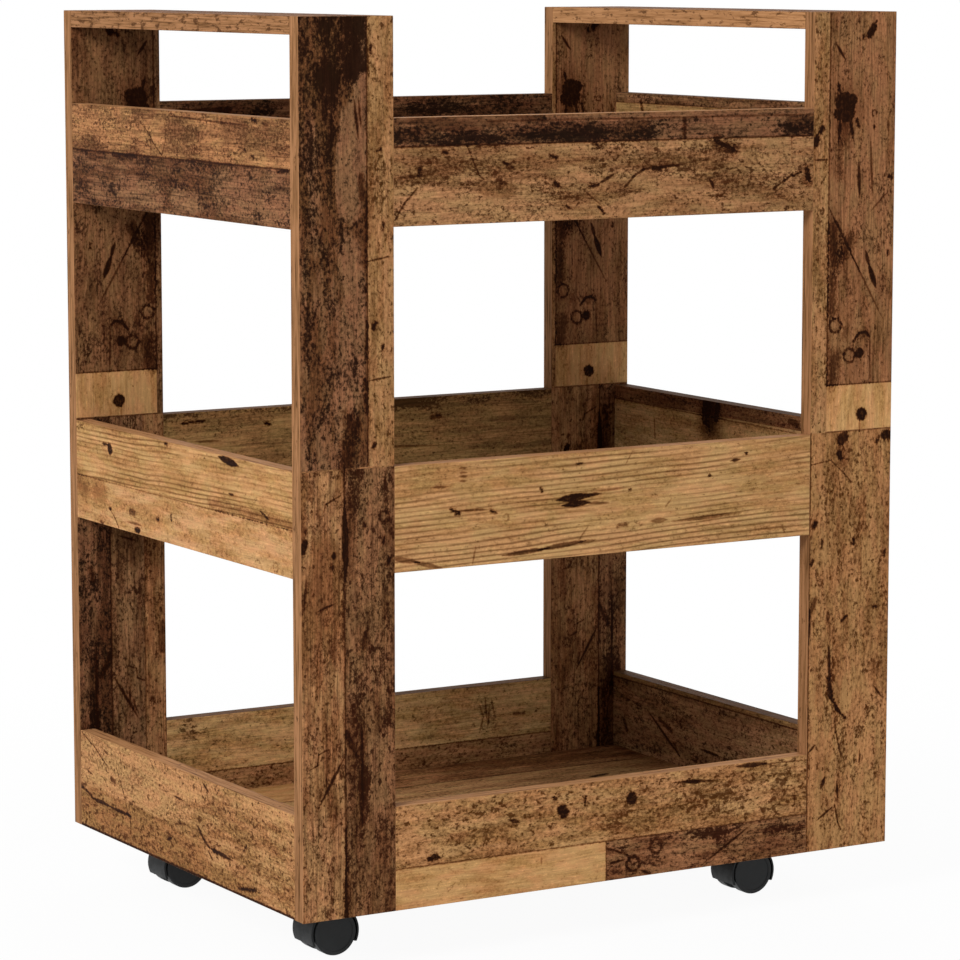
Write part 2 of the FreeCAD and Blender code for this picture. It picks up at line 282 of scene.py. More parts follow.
class WoodGroups:
    """The shader groups that every board's decor is made of."""

    COLOURS = dict.fromkeys(("Light", "Brown", "Dark"), COLOUR)
    RIM = dict.fromkeys(("Outer", "Inner", "Ragged", "Noise"), FLOAT)
    MASK = {"Mask": FLOAT}

    def __init__(self, wood: OldWood) -> None:
        """Builds the groups for the given kind of wood."""
        self.wood = wood
        self.old_plank = self._old_plank()
        self.edge_band = self._edge_band()
        self.dot = self._round("Dot", hollow=False)
        self.ring = self._round("Ring", hollow=True)
        self.stroke = self._straight("Stroke", tapered=False)
        self.scratch = self._straight("Scratch", tapered=True)
        self.zone = self._zone()

    def _old_plank(self) -> Tree:
        """Wood of one plank: tone, long streaks, ripples of hard and soft wood, specks, stains and fibre."""
        amounts = dict.fromkeys(("Tone", "Stain", "Specks", "Ripple", "Streak"), FLOAT)
        results = {"Colour": COLOUR, "Height": FLOAT, "Grit": FLOAT}
        group = SharedGroup("OldPlank", {"Place": VECTOR, **self.COLOURS, **amounts}, results)
        b, g, w = group.bench, group.given, self.wood

        sway = b.noise(g["Place"], w.sway)
        shift = b.math("MULTIPLY_ADD", sway, w.sway_reach, -0.5 * w.sway_reach)
        place = b.vector("ADD", g["Place"], b.join(0.0, shift, 0.0))

        tone = b.noise(place, w.tone)
        shade = b.math("MULTIPLY_ADD", g["Tone"], w.tone_pull, tone)
        wood = b.blend(b.ramp(shade, *w.tone_ramp), g["Light"], g["Brown"])

        streak = b.math("MULTIPLY", b.ramp(b.noise(place, w.streak), *w.streak_ramp), g["Streak"])
        wood = b.blend(streak, wood, g["Dark"])

        along, across, _ = b.split(g["Place"])
        bend = b.math("MULTIPLY", b.noise(g["Place"], w.ripple), w.ripple_turns)
        level = b.math("MULTIPLY_ADD", along, -w.ripple_slope, across)
        turns = b.math("MULTIPLY_ADD", level, 1.0 / w.ripple_pitch, bend)
        wave = b.math("SINE", b.math("MULTIPLY", turns, 2 * math.pi))
        line = b.math("POWER", b.math("MULTIPLY_ADD", wave, 0.5, 0.5), w.ripple_sharpness)
        line = b.math("MULTIPLY", line, g["Ripple"])
        wood = b.blend(b.math("MULTIPLY", line, b.ramp(sway, *w.ripple_ramp)), wood, g["Dark"])

        grit = b.noise(place, w.grit)
        dense = b.math("MULTIPLY_ADD", g["Specks"], w.grit_pull, grit)
        dense = b.math("MULTIPLY_ADD", tone, w.grit_by_tone, dense)
        wood = b.blend(b.ramp(dense, *w.grit_ramp), wood, g["Dark"])
        wood = b.scaled(wood, b.ramp(grit, *w.glint_ramp))

        specks = b.math("MULTIPLY_ADD", g["Specks"], w.specks_pull, b.noise(g["Place"], w.specks))
        wood = b.blend(b.ramp(specks, *w.specks_ramp), wood, g["Dark"])

        stain = b.math("MULTIPLY_ADD", g["Stain"], w.stain_pull, b.noise(place, w.stain))
        stain = b.math("MULTIPLY_ADD", grit, w.stain_by_grit, stain)
        wood = b.blend(b.ramp(stain, *w.stain_ramp), wood, g["Dark"])

        fibre = b.noise(place, w.fibre)
        contrast = b.math("MULTIPLY_ADD", g["Streak"], w.fibre_by_streak, w.fibre_contrast)
        wood = b.scaled(wood, b.math("MULTIPLY_ADD", b.ramp(fibre, *w.fibre_ramp), contrast, 1.0))
        hue = b.ramp(b.noise(place, w.hue), *w.hue_ramp)
        wood = b.vector("MULTIPLY", wood, b.blend(hue, w.redder, w.yellower))
        height = b.math("MULTIPLY_ADD", line, w.ripple_relief, fibre)
        return group.give(Colour=wood, Height=height, Grit=grit)

    def _edge_band(self) -> Tree:
        """The thin light band on the boards' edges, with fine grain and a few specks."""
        inputs = {"Place": VECTOR, **self.COLOURS, "Specks": FLOAT}
        group = SharedGroup("EdgeBand", inputs, {"Colour": COLOUR})
        b, g, w = group.bench, group.given, self.wood
        grain = b.noise(g["Place"], w.band)
        band = b.blend(b.ramp(grain, *w.band_brown_ramp), g["Light"], g["Brown"])
        band = b.blend(b.ramp(grain, *w.band_dark_ramp), band, g["Dark"])
        chips = b.math("MULTIPLY_ADD", g["Specks"], w.chips_pull, b.noise(g["Place"], w.chips))
        return group.give(Colour=b.blend(b.ramp(chips, *w.chips_ramp), band, g["Dark"]))

    def _rimmed(self, group: SharedGroup, distance: Socket) -> Tree:
        """Finishes a mark's group: a soft ragged rim at a distance from its middle."""
        b, g = group.bench, group.given
        distance = b.math("MULTIPLY_ADD", g["Noise"], g["Ragged"], distance)
        return group.give(Mask=b.ramp(distance, g["Outer"], g["Inner"]))

    def _round(self, name: str, hollow: bool) -> Tree:
        """A round spot or a loose ring."""
        inputs = dict.fromkeys(("Place", "Start"), VECTOR) | ({"Radius": FLOAT} if hollow else {})
        group = SharedGroup(name, inputs | self.RIM, self.MASK)
        b, g = group.bench, group.given
        distance = b.vector("DISTANCE", g["Place"], g["Start"], result="Value")
        if hollow:
            distance = b.math("ABSOLUTE", b.math("SUBTRACT", distance, g["Radius"]))
        return self._rimmed(group, distance)

    def _straight(self, name: str, tapered: bool) -> Tree:
        """A straight stroke, of even width or tapered to both ends."""
        inputs = dict.fromkeys(("Place", "Start", "Span"), VECTOR) | {"Per Length": FLOAT, **self.RIM}
        group = SharedGroup(name, inputs | ({"Taper": FLOAT} if tapered else {}), self.MASK)
        b, g = group.bench, group.given
        reach = b.vector("SUBTRACT", g["Place"], g["Start"])
        along = b.vector("DOT_PRODUCT", reach, g["Span"], result="Value")
        along = b.node("ShaderNodeClamp", {0: b.math("MULTIPLY", along, g["Per Length"])}).outputs[0]
        distance = b.vector("DISTANCE", reach, b.scaled(g["Span"], along), result="Value")
        if tapered:
            ends = b.math("MULTIPLY_ADD", along, 2.0, -1.0)
            distance = b.math("MULTIPLY_ADD", b.math("MULTIPLY", ends, ends), g["Taper"], distance)
        return self._rimmed(group, distance)

    def _zone(self) -> Tree:
        """The area of one plank, between two opposite corners."""
        group = SharedGroup("PlankZone", dict.fromkeys(("Place", "Low", "High"), VECTOR), self.MASK)
        b, g = group.bench, group.given
        past_low = b.vector("SUBTRACT", g["Place"], g["Low"])
        short_of_high = b.vector("SUBTRACT", g["High"], g["Place"])
        along, across, _ = b.split(b.vector("MINIMUM", past_low, short_of_high))
        return group.give(Mask=b.ramp(b.math("MINIMUM", along, across), *self.wood.plank_rim))


# Finishes of the planks


@dataclass(frozen=True)
class PlankFinish:
    """The look of one plank: its colours, and how much it shows of each feature of old wood."""

    light: str
    brown: str
    dark: str
    tone: float = 0.0
    stain: float = 0.0
    specks: float = 0.0
    ripple: float = 0.0
    streak: float = 0.3

    def colours(self) -> list[Colour]:
        """The three colours, ready for shaders."""
        return [screen_colour(code) for code in (self.light, self.brown, self.dark)]


SPECKLED = PlankFinish("a87a52", "916540", "44220b", specks=-0.2, streak=0.1)
SPECKLED_BROWN = PlankFinish("a37854", "875f3e", "3c1e0c", specks=-0.1, streak=0.2)
SPECKLED_GOLD = PlankFinish("b5875d", "9b6e46", "46240c", stain=-0.8, specks=0.15, streak=0.06)
SPECKLED_STRIP = PlankFinish("a67a54", "8d633f", "43240d", stain=-0.3, streak=0.2)
RIPPLED = PlankFinish("ba8f63", "a57b4f", "502d11", stain=-0.9, specks=-1.2, ripple=1.0, streak=0.06)
PALE_GOLD = PlankFinish("bf9164", "ac7e51", "68421f", stain=-1.1, specks=-1.2, streak=0.12)
PALE_SPECKLED = PlankFinish("ba8e66", "a97c51", "5a371c", stain=-1.0, specks=-0.8, streak=0.1)
MOTTLED = PlankFinish("825a40", "623e26", "1c0c05", tone=0.1, stain=0.45, specks=-0.2)
MOTTLED_STREAKED = PlankFinish("7f583f", "603d27", "200e06", tone=0.1, stain=0.45, specks=-0.2, streak=0.55)
BROWN_STREAKED = PlankFinish("865e41", "68442b", "2c1307", tone=0.1, stain=0.3, specks=0.2, streak=0.5)
TAN = PlankFinish("a27551", "7f5435", "3b1c0b", tone=0.1, stain=0.1, streak=0.5)
TAN_LIGHT = PlankFinish("a0724d", "785236", "3b1d0c", stain=0.1, streak=0.5)
REDDISH = PlankFinish("906445", "785033", "341808", specks=-0.6, streak=0.4)
UMBER = PlankFinish("835c3f", "68442c", "2c1509", stain=0.1, specks=-0.1, streak=0.4)
SMOKED = PlankFinish("7e563d", "573522", "1a0d07", tone=0.2, stain=0.6, streak=0.35)
DARK_RED = PlankFinish("926647", "734a30", "2c1207", stain=0.2, specks=0.1)
RUSSET = PlankFinish("a87e5c", "8b6545", "371c0e", stain=0.1)
CHESTNUT = PlankFinish("8c6548", "6a482f", "2c1509", stain=0.1, streak=0.5)
# A much paler copy of the olive finish below: painted light, lifting the shaded inner faces of the lower
# rear and middle right rails.
OLIVE_PAINTED_LIT = PlankFinish("c39c6e", "ad8456", "4c311a", stain=-0.8, specks=-0.5)
OLIVE = PlankFinish("a57f54", "8d6a44", "412915", stain=-0.5, specks=-0.4, streak=0.4)
WARM = PlankFinish("b0875e", "966d48", "4a2c15", stain=-0.3, specks=-0.3, streak=0.4)
EDGE = PlankFinish("9c6f4b", "795434", "40240e")
# The next two are copies of the edge band above. The lit one is painted light for the front and left rails
# and the right handle. The shaded one is painted shade for the rear and right rails.
EDGE_PAINTED_LIT = PlankFinish("ba885d", "9e7048", "4e2e16")
EDGE_PAINTED_SHADE = PlankFinish("6a4a32", "523823", "2a160a")
CUT_COLOUR = screen_colour("1f0d05")


# Planks and marks, in millimetres along and across their board


@dataclass(frozen=True)
class Plank:
    """One plank of a board's decor, between two opposite corners."""

    finish: PlankFinish
    low: Point
    high: Point

    def laid(self, mirror: bool, shift: float) -> "Plank":
        """The plank mirrored across the board, if asked, and shifted across it."""
        edges = sorted(shift - v if mirror else shift + v for v in (self.low[1], self.high[1]))
        return replace(self, low=(self.low[0], edges[0]), high=(self.high[0], edges[1]))


@dataclass(frozen=True)
class Mark:
    """A stroke or ring in a board's decor."""

    effect: Effect
    start: Point
    end: Point
    half_width: float
    amount: float
    soft: float  # half the width of the rim
    ragged: float
    taper: float = 0.0
    radius: float = 0.0

    def group(self, groups: WoodGroups, feeds: dict) -> tuple[Tree, dict]:
        """Picks the shader group that draws the mark.

        Args:
            groups: the shared groups.
            feeds: the place and the noise that every mark takes.

        Returns:
            The group and all that it is fed.
        """
        feeds |= {"Outer": self.half_width + self.soft, "Inner": self.half_width - self.soft}
        feeds |= {"Ragged": self.ragged, "Start": (*self.start, 0.0)}
        if self.radius:
            return groups.ring, feeds | {"Radius": self.radius}
        span = Vector((self.end[0] - self.start[0], self.end[1] - self.start[1], 0.0))
        if not span.length:
            return groups.dot, feeds
        feeds |= {"Span": span, "Per Length": 1.0 / span.length_squared}
        if self.taper:
            return groups.scratch, feeds | {"Taper": self.taper}
        return groups.stroke, feeds

    def laid(self, mirror: bool, shift: float) -> "Mark":
        """The mark mirrored across the board, if asked, and shifted across it."""
        ends = [(u, shift - v if mirror else shift + v) for u, v in (self.start, self.end)]
        return replace(self, start=ends[0], end=ends[1])


@dataclass(frozen=True)
class Brush:
    """A kind of stroke: what it does, its usual amount and its rim."""

    effect: Effect
    amount: float
    ragged: float
    soft: float = 0.0  # half the width of the rim
    soft_share: float = 0.0  # the same, as a share of the stroke's half width
    gain: float = 1.0  # times the amount
    tapered: bool = False

    def __call__(self, *rows: tuple) -> list[Mark]:
        """Draws strokes.

        Args:
            rows: each stroke's start and end, along and across, half its width and, if it isn't the
                usual one, its amount.

        Returns:
            The marks.
        """
        made = []
        for u, v, end_u, end_v, half_width, *own in rows:
            amount = self.gain * (own[0] if own else self.amount)
            soft = self.soft + self.soft_share * half_width
            taper = half_width if self.tapered else 0.0
            ends = (u, v), (end_u, end_v)
            made.append(Mark(self.effect, *ends, half_width, amount, soft, self.ragged, taper))
        return made


CUT = Brush(Effect.CUT, 0.95, ragged=2.0, soft=0.8, tapered=True)  # a scratch that runs out at both ends
SEAM = Brush(Effect.CUT, 0.8, ragged=2.5, soft=0.7)  # the dark joint between two planks
BLOT = Brush(Effect.CUT, 1.05, ragged=6.0, soft=1.3)  # a dark knot or scar with a ragged outline
SMUDGE = Brush(Effect.CUT, 0.5, ragged=20.0, soft_share=0.8)  # thins out towards its rim
SHADE = Brush(Effect.STAIN, 0.7, ragged=14.0, soft_share=0.95)  # more stained than the rest of its plank
GLOW = Brush(Effect.STAIN, 0.7, ragged=14.0, soft_share=0.7, gain=-2.0)  # stays free of stain
FADE = Brush(Effect.TONE, 0.7, ragged=12.0, soft_share=0.9, gain=-1.0)  # lighter, or darker below zero
DUST = Brush(Effect.SPECKS, 0.7, ragged=6.0, soft_share=0.5)  # has more specks
HOLE = Brush(Effect.CUT, 1.1, ragged=4.0, soft=1.0)
RING = Brush(Effect.CUT, 0.9, ragged=6.5, soft=0.9)
CRACK_AMOUNT = 0.85


def crack(half_width: float, *points: Point) -> list[Mark]:
    """A bent crack through several points."""
    return SEAM(*((*a, *b, half_width, CRACK_AMOUNT) for a, b in zip(points, points[1:])))


def holes(*rows: tuple) -> list[Mark]:
    """Nail holes, each by its place along and across and its radius."""
    return HOLE(*((u, v, u, v, radius) for u, v, radius in rows))


def ring(u: float, v: float, radius: float, half_width: float = 1.3, amount: float = RING.amount) -> Mark:
    """A loose dark ring about a place along and across."""
    line, = RING((u, v, u, v, half_width, amount))
    return replace(line, radius=radius)


@dataclass(frozen=True)
class Decor:
    """The printed face of a board: its planks, the first under all the others, and the marks on them."""

    planks: tuple[Plank, ...]
    marks: tuple[Mark, ...]

    def laid(self, mirror: bool, shift: float) -> "Decor":
        """The decor mirrored across the board, if asked, and shifted across it."""
        planks = tuple(plank.laid(mirror, shift) for plank in self.planks)
        return Decor(planks, tuple(mark.laid(mirror, shift) for mark in self.marks))

    def refinished(self, old: PlankFinish, new: PlankFinish) -> "Decor":
        """The decor with one finish in the place of another."""
        planks = tuple(replace(plank, finish=new) if plank.finish == old else plank for plank in self.planks)
        return Decor(planks, self.marks)

    def __add__(self, other: "Decor") -> "Decor":
        """Lays another decor over this one."""
        return Decor(self.planks + other.planks, self.marks + other.marks)


# Decor of the posts: along from the foot, across from the post's right edge

BEYOND = 30.0  # planks run on past the board's edges
POST_LENGTH = 750.0
POST_JOINT = 379.0  # where the upper and the lower planks meet
POST_END = POST_LENGTH + BEYOND
POST_SPAN = 88.5 + BEYOND

LOWER_PAIR = Decor(
    (
        Plank(TAN, (-BEYOND, 48), (POST_JOINT, POST_SPAN)),
        Plank(BROWN_STREAKED, (-BEYOND, -BEYOND), (POST_JOINT, 48)),
    ),
    (
        *SEAM((0, 47.8, POST_JOINT, 47.8, 0.8)),
        *BLOT(
            (0, 47.5, 30, 48, 2), (30, 47, 75, 47.5, 1.2), (103, 72, 112, 70, 1.2, 0.8),
            (76, 33, 112, 32, 1.5, 0.8), (138, 37, 157, 46, 2.4, 0.85), (228, 30, 240, 28, 2.2, 0.8),
            (298, 60, 299, 59, 2), (307, 58, 309, 58, 2.2), (313, 87, 320, 85, 3.2),
            (329, 84, 331, 84, 1.8, 0.8), (297, 7, 301, 5, 2.2), (315, 11, 319, 10, 1.6),
            (330, 29, 333, 29, 1.5),
        ),
        *CUT(
            (282, 46.8, 354, 47.8, 3, 1.05), (94, 75, 138, 48.5, 1.5), (113, 66, 124, 66, 1),
            (104, 32, 168, 32, 1.6), (262, 74, 268, 56, 1), (262, 86, 290, 84, 1.4, 0.7),
        ),
        *SMUDGE((288, 43, 352, 43, 5, 0.45)),
        *SHADE(
            (255, 43, 300, 45, 6, 0.5), (10, 43, 70, 42, 4, 0.8), (70, 34, 165, 34, 6, 1),
            (85, 27, 115, 27, 5, 0.9), (175, 8, 195, 5, 10, 0.7), (200, 72, 225, 72, 10, 0.35),
            (285, 6, 305, 5, 4, 1.2), (330, 8, 372, 9, 4, 0.9), (345, 40, 378, 38, 4, 0.8),
        ),
        *GLOW((100, 14, 145, 14, 7, 0.7), (335, 22, 372, 20, 6, 0.7)),
        *FADE(
            (100, 14, 145, 14, 7, 0.8), (0, 70, 70, 72, 16, 0.8), (315, 82, 352, 81.5, 2, 1.4),
            (330, 66, 375, 68, 10, 0.3), (255, 66, 315, 66, 12, -0.6), (205, 22, 372, 24, 14, 0.5),
            (335, 22, 372, 20, 7, 1.2),
        ),
        *crack(0.7, (130, 81), (133, 74), (142, 73), (145, 65)),
        *crack(0.7, (345, 67), (351, 65), (357, 52)),
        ring(337, 10, 4.5),
    ),
)

LOWER_SPECKLED = Decor(
    (Plank(SPECKLED, (-BEYOND, -BEYOND), (POST_JOINT, POST_SPAN)),),
    (
        *SEAM((0, 88, POST_JOINT, 88, 0.8)),
        *BLOT(
            (119, 47, 129, 57, 1.5), (128, 56, 141, 63.5, 1.9), (141, 63.5, 158, 65, 2.9),
            (218, 86, 230, 81, 2.4, 0.75), (209, 67, 217, 67, 1.5, 0.8), (208, 52, 212, 47, 1.6),
            (296, 83, 299, 82, 2.6), (356, 56, 360, 57, 2.6), (372, 55, 374, 52, 5.2, 0.95),
            (373, 7, 373, 3, 4.5), (367, 16, 369, 15, 1.8), (277, 40, 281, 40, 1.5), (276, 75, 282, 74, 1.2),
            (218, 17, 218, 14, 1.8), (264, 6, 268, 5, 1.6), (265, 84, 262, 86, 1.6),
        ),
        *CUT(
            (155, 64.5, 188, 66, 2), (45, 54, 62, 55, 1.6), (28, 77, 39, 59, 1.2), (56, 73, 68, 68, 2),
            (190, 88, 222, 87, 1.6), (91, 87, 98, 79, 1.3), (74, 30, 89, 30, 1), (134, 6, 146, 16, 1.2),
        ),
        *SMUDGE((362, 56, 352, 52, 5, 0.5)),
        *SHADE((80, 55, 180, 62, 14, 0.5), (30, 60, 75, 58, 10, 0.5), (95, 38, 104, 30, 5, 0.6)),
        *FADE((0, 45, 120, 20, 18, 0.5)),
        *DUST((165, 24, 165, 14, 7, 0.9), (200, 40, 340, 30, 30, 0.35)),
        *crack(0.9, (86, 51), (107, 57), (118, 58)),
        *crack(0.8, (17, 50), (25, 54), (40, 57)),
        *crack(0.5, (351, 87), (354, 66), (341, 51), (333, 43)),
    ),
)

UPPER_MOTTLED = Decor(
    (
        Plank(MOTTLED, (POST_JOINT, 25), (POST_END, POST_SPAN)),
        Plank(SPECKLED_STRIP, (POST_JOINT, -BEYOND), (POST_END, 25)),
        Plank(TAN_LIGHT, (POST_JOINT - 0.5, -BEYOND), (POST_JOINT + 0.5, POST_SPAN)),
    ),
    (
        *SEAM((381, 25.2, POST_LENGTH, 25.2, 0.8)),
        *BLOT(
            (425, 26, 440, 27, 1.5), (444, 26, 452, 28, 1.8), (470, 26.5, 500, 26, 1.2),
            (525, 26.5, 528, 27, 1.5), (545, 27, 600, 26, 0.9), (602, 30, 620, 31, 2.8, 0.8),
            (396, 20, 398, 19, 1.8), (494, 20, 498, 18, 2.2), (476, 11, 480, 11, 1.4),
            (575, 10, 581, 10, 1.2), (640, 16, 641, 12, 1.3), (720, 22, 726, 21, 0.9),
        ),
        *CUT(
            (650, 33, 682, 37, 1.4), (658, 30.5, 684, 33, 1.1), (451, 24, 453.5, 3, 0.9),
            (549.5, 25, 553, 4, 0.9),
        ),
        *SMUDGE((383, 46, 400, 44, 6, 0.85), (413, 38, 421, 43, 6, 0.95)),
        *SHADE(
            (385, 70, 395, 50, 14, 0.6), (443, 34, 466, 36, 4, 1), (470, 82, 500, 79, 5, 0.9),
            (500, 80, 560, 86, 6, 0.6), (590, 72, 640, 66, 14, 0.3), (712, 36, 748, 34, 14, 1.9),
            (655, 52, 700, 56, 6, 0.9), (704, 34, 700, 62, 8, 0.8), (640, 74, 745, 66, 26, 0.8),
            (705, 72, 750, 62, 20, 0.35), (565, 42, 585, 42, 8, 0.5), (590, 58, 680, 57, 6, 0.4),
        ),
        *GLOW(
            (500, 40, 560, 40, 8, 0.4), (595, 42, 668, 39, 10, 1.1), (605, 47, 640, 47, 7, 1.1),
            (665, 36, 698, 29, 5, 1.1),
        ),
        *FADE(
            (425, 45, 510, 42, 9, 0.9), (500, 35, 560, 40, 7, 0.8), (595, 42, 668, 39, 10, 1.1),
            (605, 47, 640, 47, 7, 1.2), (665, 36, 698, 29, 5, 1.2), (690, 64, 750, 56, 18, -0.9),
            (575, 60, 680, 60, 7, -0.8),
        ),
        *DUST((600, 14, 625, 14, 9, 0.8)),
    ),
)

UPPER_REDDISH = Decor(
    (
        Plank(REDDISH, (POST_JOINT, -BEYOND), (POST_END, 72)),
        Plank(SPECKLED_STRIP, (POST_JOINT, 72), (POST_END, POST_SPAN)),
        Plank(PALE_GOLD, (POST_JOINT + 1, -BEYOND), (420.5, 71.5)),
    ),
    (
        *SEAM(
            (POST_JOINT, -BEYOND, POST_JOINT, 72, 0.5, 0.5), (421, -BEYOND, 421, 72, 0.6, 0.7),
            (421, 71.5, POST_LENGTH, 71.5, 0.8, 0.75),
        ),
        *BLOT(
            (670, 55, 664, 54, 10, 1), (649, 40, 656, 42, 1.6, 0.8), (730, 29, 737, 24.5, 3.6),
            (727, 36, 729, 36, 1.6), (683, 62, 685, 62, 1.2), (648, 23, 649, 23, 1.3),
            (635, 87, 640, 85, 3.6), (646, 81, 649, 79, 2.8), (605, 6, 603, 3, 1.8), (535, 6, 538, 6, 1.4),
        ),
        *CUT(
            (378, 35, 389, 35, 1, 0.5), (420, 24, 466, 25, 0.9, 0.7), (478, 11, 541, 49, 1, 0.75),
            (520, 36, 580, 72, 1.1, 0.85), (505, 18.5, 528, 27.5, 3, 1), (524, 26, 540, 31, 2),
            (586, 38, 620, 39.5, 2), (588, 24, 640, 27, 1.3, 0.7), (574, 26, 592, 6, 1, 0.7),
            (660, 50, 636, 45, 1.8, 0.8), (658, 60, 634, 62, 1.6, 0.7), (676, 60, 690, 63, 1.4, 0.8),
            (740, 23, 743, 21, 1.2), (708, 55, 723, 66, 1.6), (621, 88, 621, 73, 1),
            (640, 7, 658, 8, 1, 0.7),
        ),
        *SMUDGE(
            (464, 37, 466, 30, 4), (464, 53, 470, 52, 3), (530, 64, 560, 66, 7, 0.85),
            (538, 54, 551, 48, 6, 0.8), (672, 55, 660, 54, 17, 0.4), (652, 56, 636, 54, 6, 0.45),
            (606, 60, 636, 60, 4, 0.4), (424, 66, 446, 63, 6, 0.75), (486, 67, 516, 67, 5, 0.8),
        ),
        *SHADE((575, 16, 605, 14, 8, 0.8), (700, 84, 704, 82, 8, 0.9)),
        *FADE((540, 30, 720, 40, 20, 0.4)),
        *DUST((500, 80, 600, 80, 9, 0.4)),
        *crack(1.3, (459, 43), (466, 37), (467, 30), (463, 26)),
        *holes((393.5, 33, 6), (448.5, 36, 4.8), (673, 47, 5.2), (661, 62, 5.2)),
        ring(447, 47, 6),
        ring(474, 63, 6.2),
        ring(661, 23, 2.6, 0.6),
    ),
)

REAR_STRIPE = Decor(
    (Plank(TAN, (-BEYOND, -BEYOND), (POST_JOINT, 21)),),
    (*SEAM((0, 21, POST_JOINT, 21, 0.5, 0.5)), *BLOT((158, 4, 182, 3, 4, 0.7))),
)
# The rear-left post takes the front posts' decor in darker finishes: painted shade at the back of the cart.
REAR_UPPER = UPPER_REDDISH.refinished(REDDISH, UMBER).refinished(SPECKLED_STRIP, CHESTNUT)
REAR_LOWER = LOWER_PAIR.refinished(BROWN_STREAKED, SMOKED).refinished(TAN, CHESTNUT)
POSTS = {
    "front_left": LOWER_PAIR + UPPER_MOTTLED,
    "front_right": LOWER_SPECKLED + UPPER_REDDISH,
    "rear_left": REAR_LOWER.laid(True, 103.5) + REAR_STRIPE + REAR_UPPER.laid(True, 78.0),
    "rear_right": LOWER_PAIR.laid(False, -15.0) + UPPER_REDDISH.laid(False, 12.5),
}

# Decor of the rails: along from the left or rear end, across from the foot

LONG_RAIL = 423.0
SIDE_RAIL = 420.0
RAIL_END = LONG_RAIL + BEYOND
RAIL_SPAN = 89.5 + BEYOND


def above(level: float, finish: PlankFinish) -> Plank:
    """The plank of a rail above a level."""
    return Plank(finish, (-BEYOND, level), (RAIL_END, RAIL_SPAN))


def below(level: float, finish: PlankFinish, start: float = -BEYOND, end: float = RAIL_END) -> Plank:
    """The plank of a rail below a level, or a piece of it."""
    return Plank(finish, (start, -BEYOND), (end, level))


def whole(finish: PlankFinish) -> Plank:
    """A plank that covers a whole rail."""
    return above(-BEYOND, finish)


TOP_FRONT = Decor(
    (whole(SPECKLED_BROWN), above(65.5, SMOKED)),
    (
        *SEAM(
            (0, 65.5, LONG_RAIL, 65.5, 0.8), (90, 85, LONG_RAIL, 84, 0.7, 0.6), (399, 65, 400, 42, 0.5, 0.5),
        ),
        *BLOT(
            (287, 68, 287, 83, 1.8, 0.85), (106, 50, 115, 45.5, 1.3), (152, 54.5, 157, 53, 1.8),
            (25, 48, 24, 42, 1.9), (255, 41, 262, 41, 1.9), (190, 28, 199, 29, 1.5), (196, 64, 199, 61, 1.5),
            (401, 31, 409, 34, 1.4), (416.5, 35, 418, 27, 2.4, 0.9), (200, 10, 205, 5, 1.5),
            (168, 12, 170, 10, 1.4), (47, 61, 50, 60, 1.4), (156, 32, 159, 30, 1.8),
            (103, 34, 107, 33, 1.5, 0.8),
        ),
        *CUT(
            (0, 40, 32, 42, 1.3, 0.7), (255, 42, 285, 44, 1.5), (200, 30, 216, 38, 1.7),
            (313, 31, 318, 22, 1.9), (182, 27, 203, 11, 0.8, 0.7), (317, 64.5, 333, 57, 1.8, 0.9),
            (327, 60.5, 342, 54, 1.4, 0.8),
        ),
        *SMUDGE((320, 63.5, 337, 55, 5, 0.95), (415, 36, 418, 26, 5, 0.6)),
        *SHADE((0, 73, 250, 71, 7, 1.3), (385, 71, 423, 71, 6, 1.4)),
        *GLOW((20, 86, 140, 87, 4, 0.6), (270, 76, 375, 75, 8, 0.5), (150, 87, 423, 87, 3, 0.7)),
        *FADE(
            (265, 76, 380, 75, 10, 1.2), (150, 87, 423, 87, 3, 1), (88, 26, 110, 26, 6, -1),
            (20, 18, 140, 14, 12, 0.6),
        ),
        *DUST(
            (30, 50, 110, 38, 14, 0.8), (200, 50, 320, 48, 14, 0.8), (140, 30, 180, 26, 11, 0.8),
            (330, 30, 400, 34, 14, 0.7),
        ),
        *crack(0.7, (70, 65), (82, 40), (86, 37)),
        *crack(0.9, (2, 7), (10, 19), (22, 31)),
        *crack(1.2, (226, 26), (235, 35), (245, 41), (258, 42)),
        *crack(1.0, (380, 20), (392, 27), (400, 32)),
    ),
)

MIDDLE_FRONT = Decor(
    (whole(RIPPLED),),
    (
        *BLOT(
            (55, 49.5, 58, 48.5, 1.6), (59, 46, 61, 45.5, 1.9), (93, 45.5, 98, 44.5, 1.6),
            (179, 80, 184, 80, 1.1), (143, 61, 144, 59, 1.2), (233, 54, 233, 54, 1.2),
            (315, 61, 316, 61, 1.2), (354, 78, 356, 78, 1), (221, 23.5, 230, 24, 1.5, 0.75),
            (394, 8, 396, 5, 0.9, 0.6),
        ),
        *CUT(
            (157, 50, 195, 52.4, 3.4, 1.1), (186, 51.5, 204, 53, 1.6), (163, 44.8, 193, 46.2, 2.7, 1.1),
            (186, 45.5, 212, 44, 1.3, 0.7), (56, 48, 92, 47, 0.9, 0.8), (199, 55, 233, 56, 0.9, 0.5),
            (337, 72, 348, 73, 1.5), *((62, v, 70, v, 1, 0.7) for v in (84, 80, 77, 73)),
            (34, 69.5, 52, 69, 0.9, 0.7), (104, 6.4, 152, 9.4, 2.1, 0.85), (140, 8.6, 188, 13, 2.3, 0.8),
            (180, 12, 200, 13, 1.3, 0.6), (254, 25, 272, 25, 2.4, 0.6), (276, 23, 350, 25.5, 1.9, 0.6),
            (-4, 13, 24, 7, 2.3, 0.65), (16, 8.5, 46, 0.5, 2, 0.65), (75, 1, 78.5, 17, 0.8, 0.6),
            (269, 36, 276, 43, 0.8, 0.6), (180, 13, 191, 26, 0.6, 0.5), (236, 88, 228, 76, 0.6, 0.5),
        ),
        *FADE((0, 10, LONG_RAIL, 12, 12, 0.3)),
        ring(108, 39, 2.6, 0.6, 0.5),
    ),
)

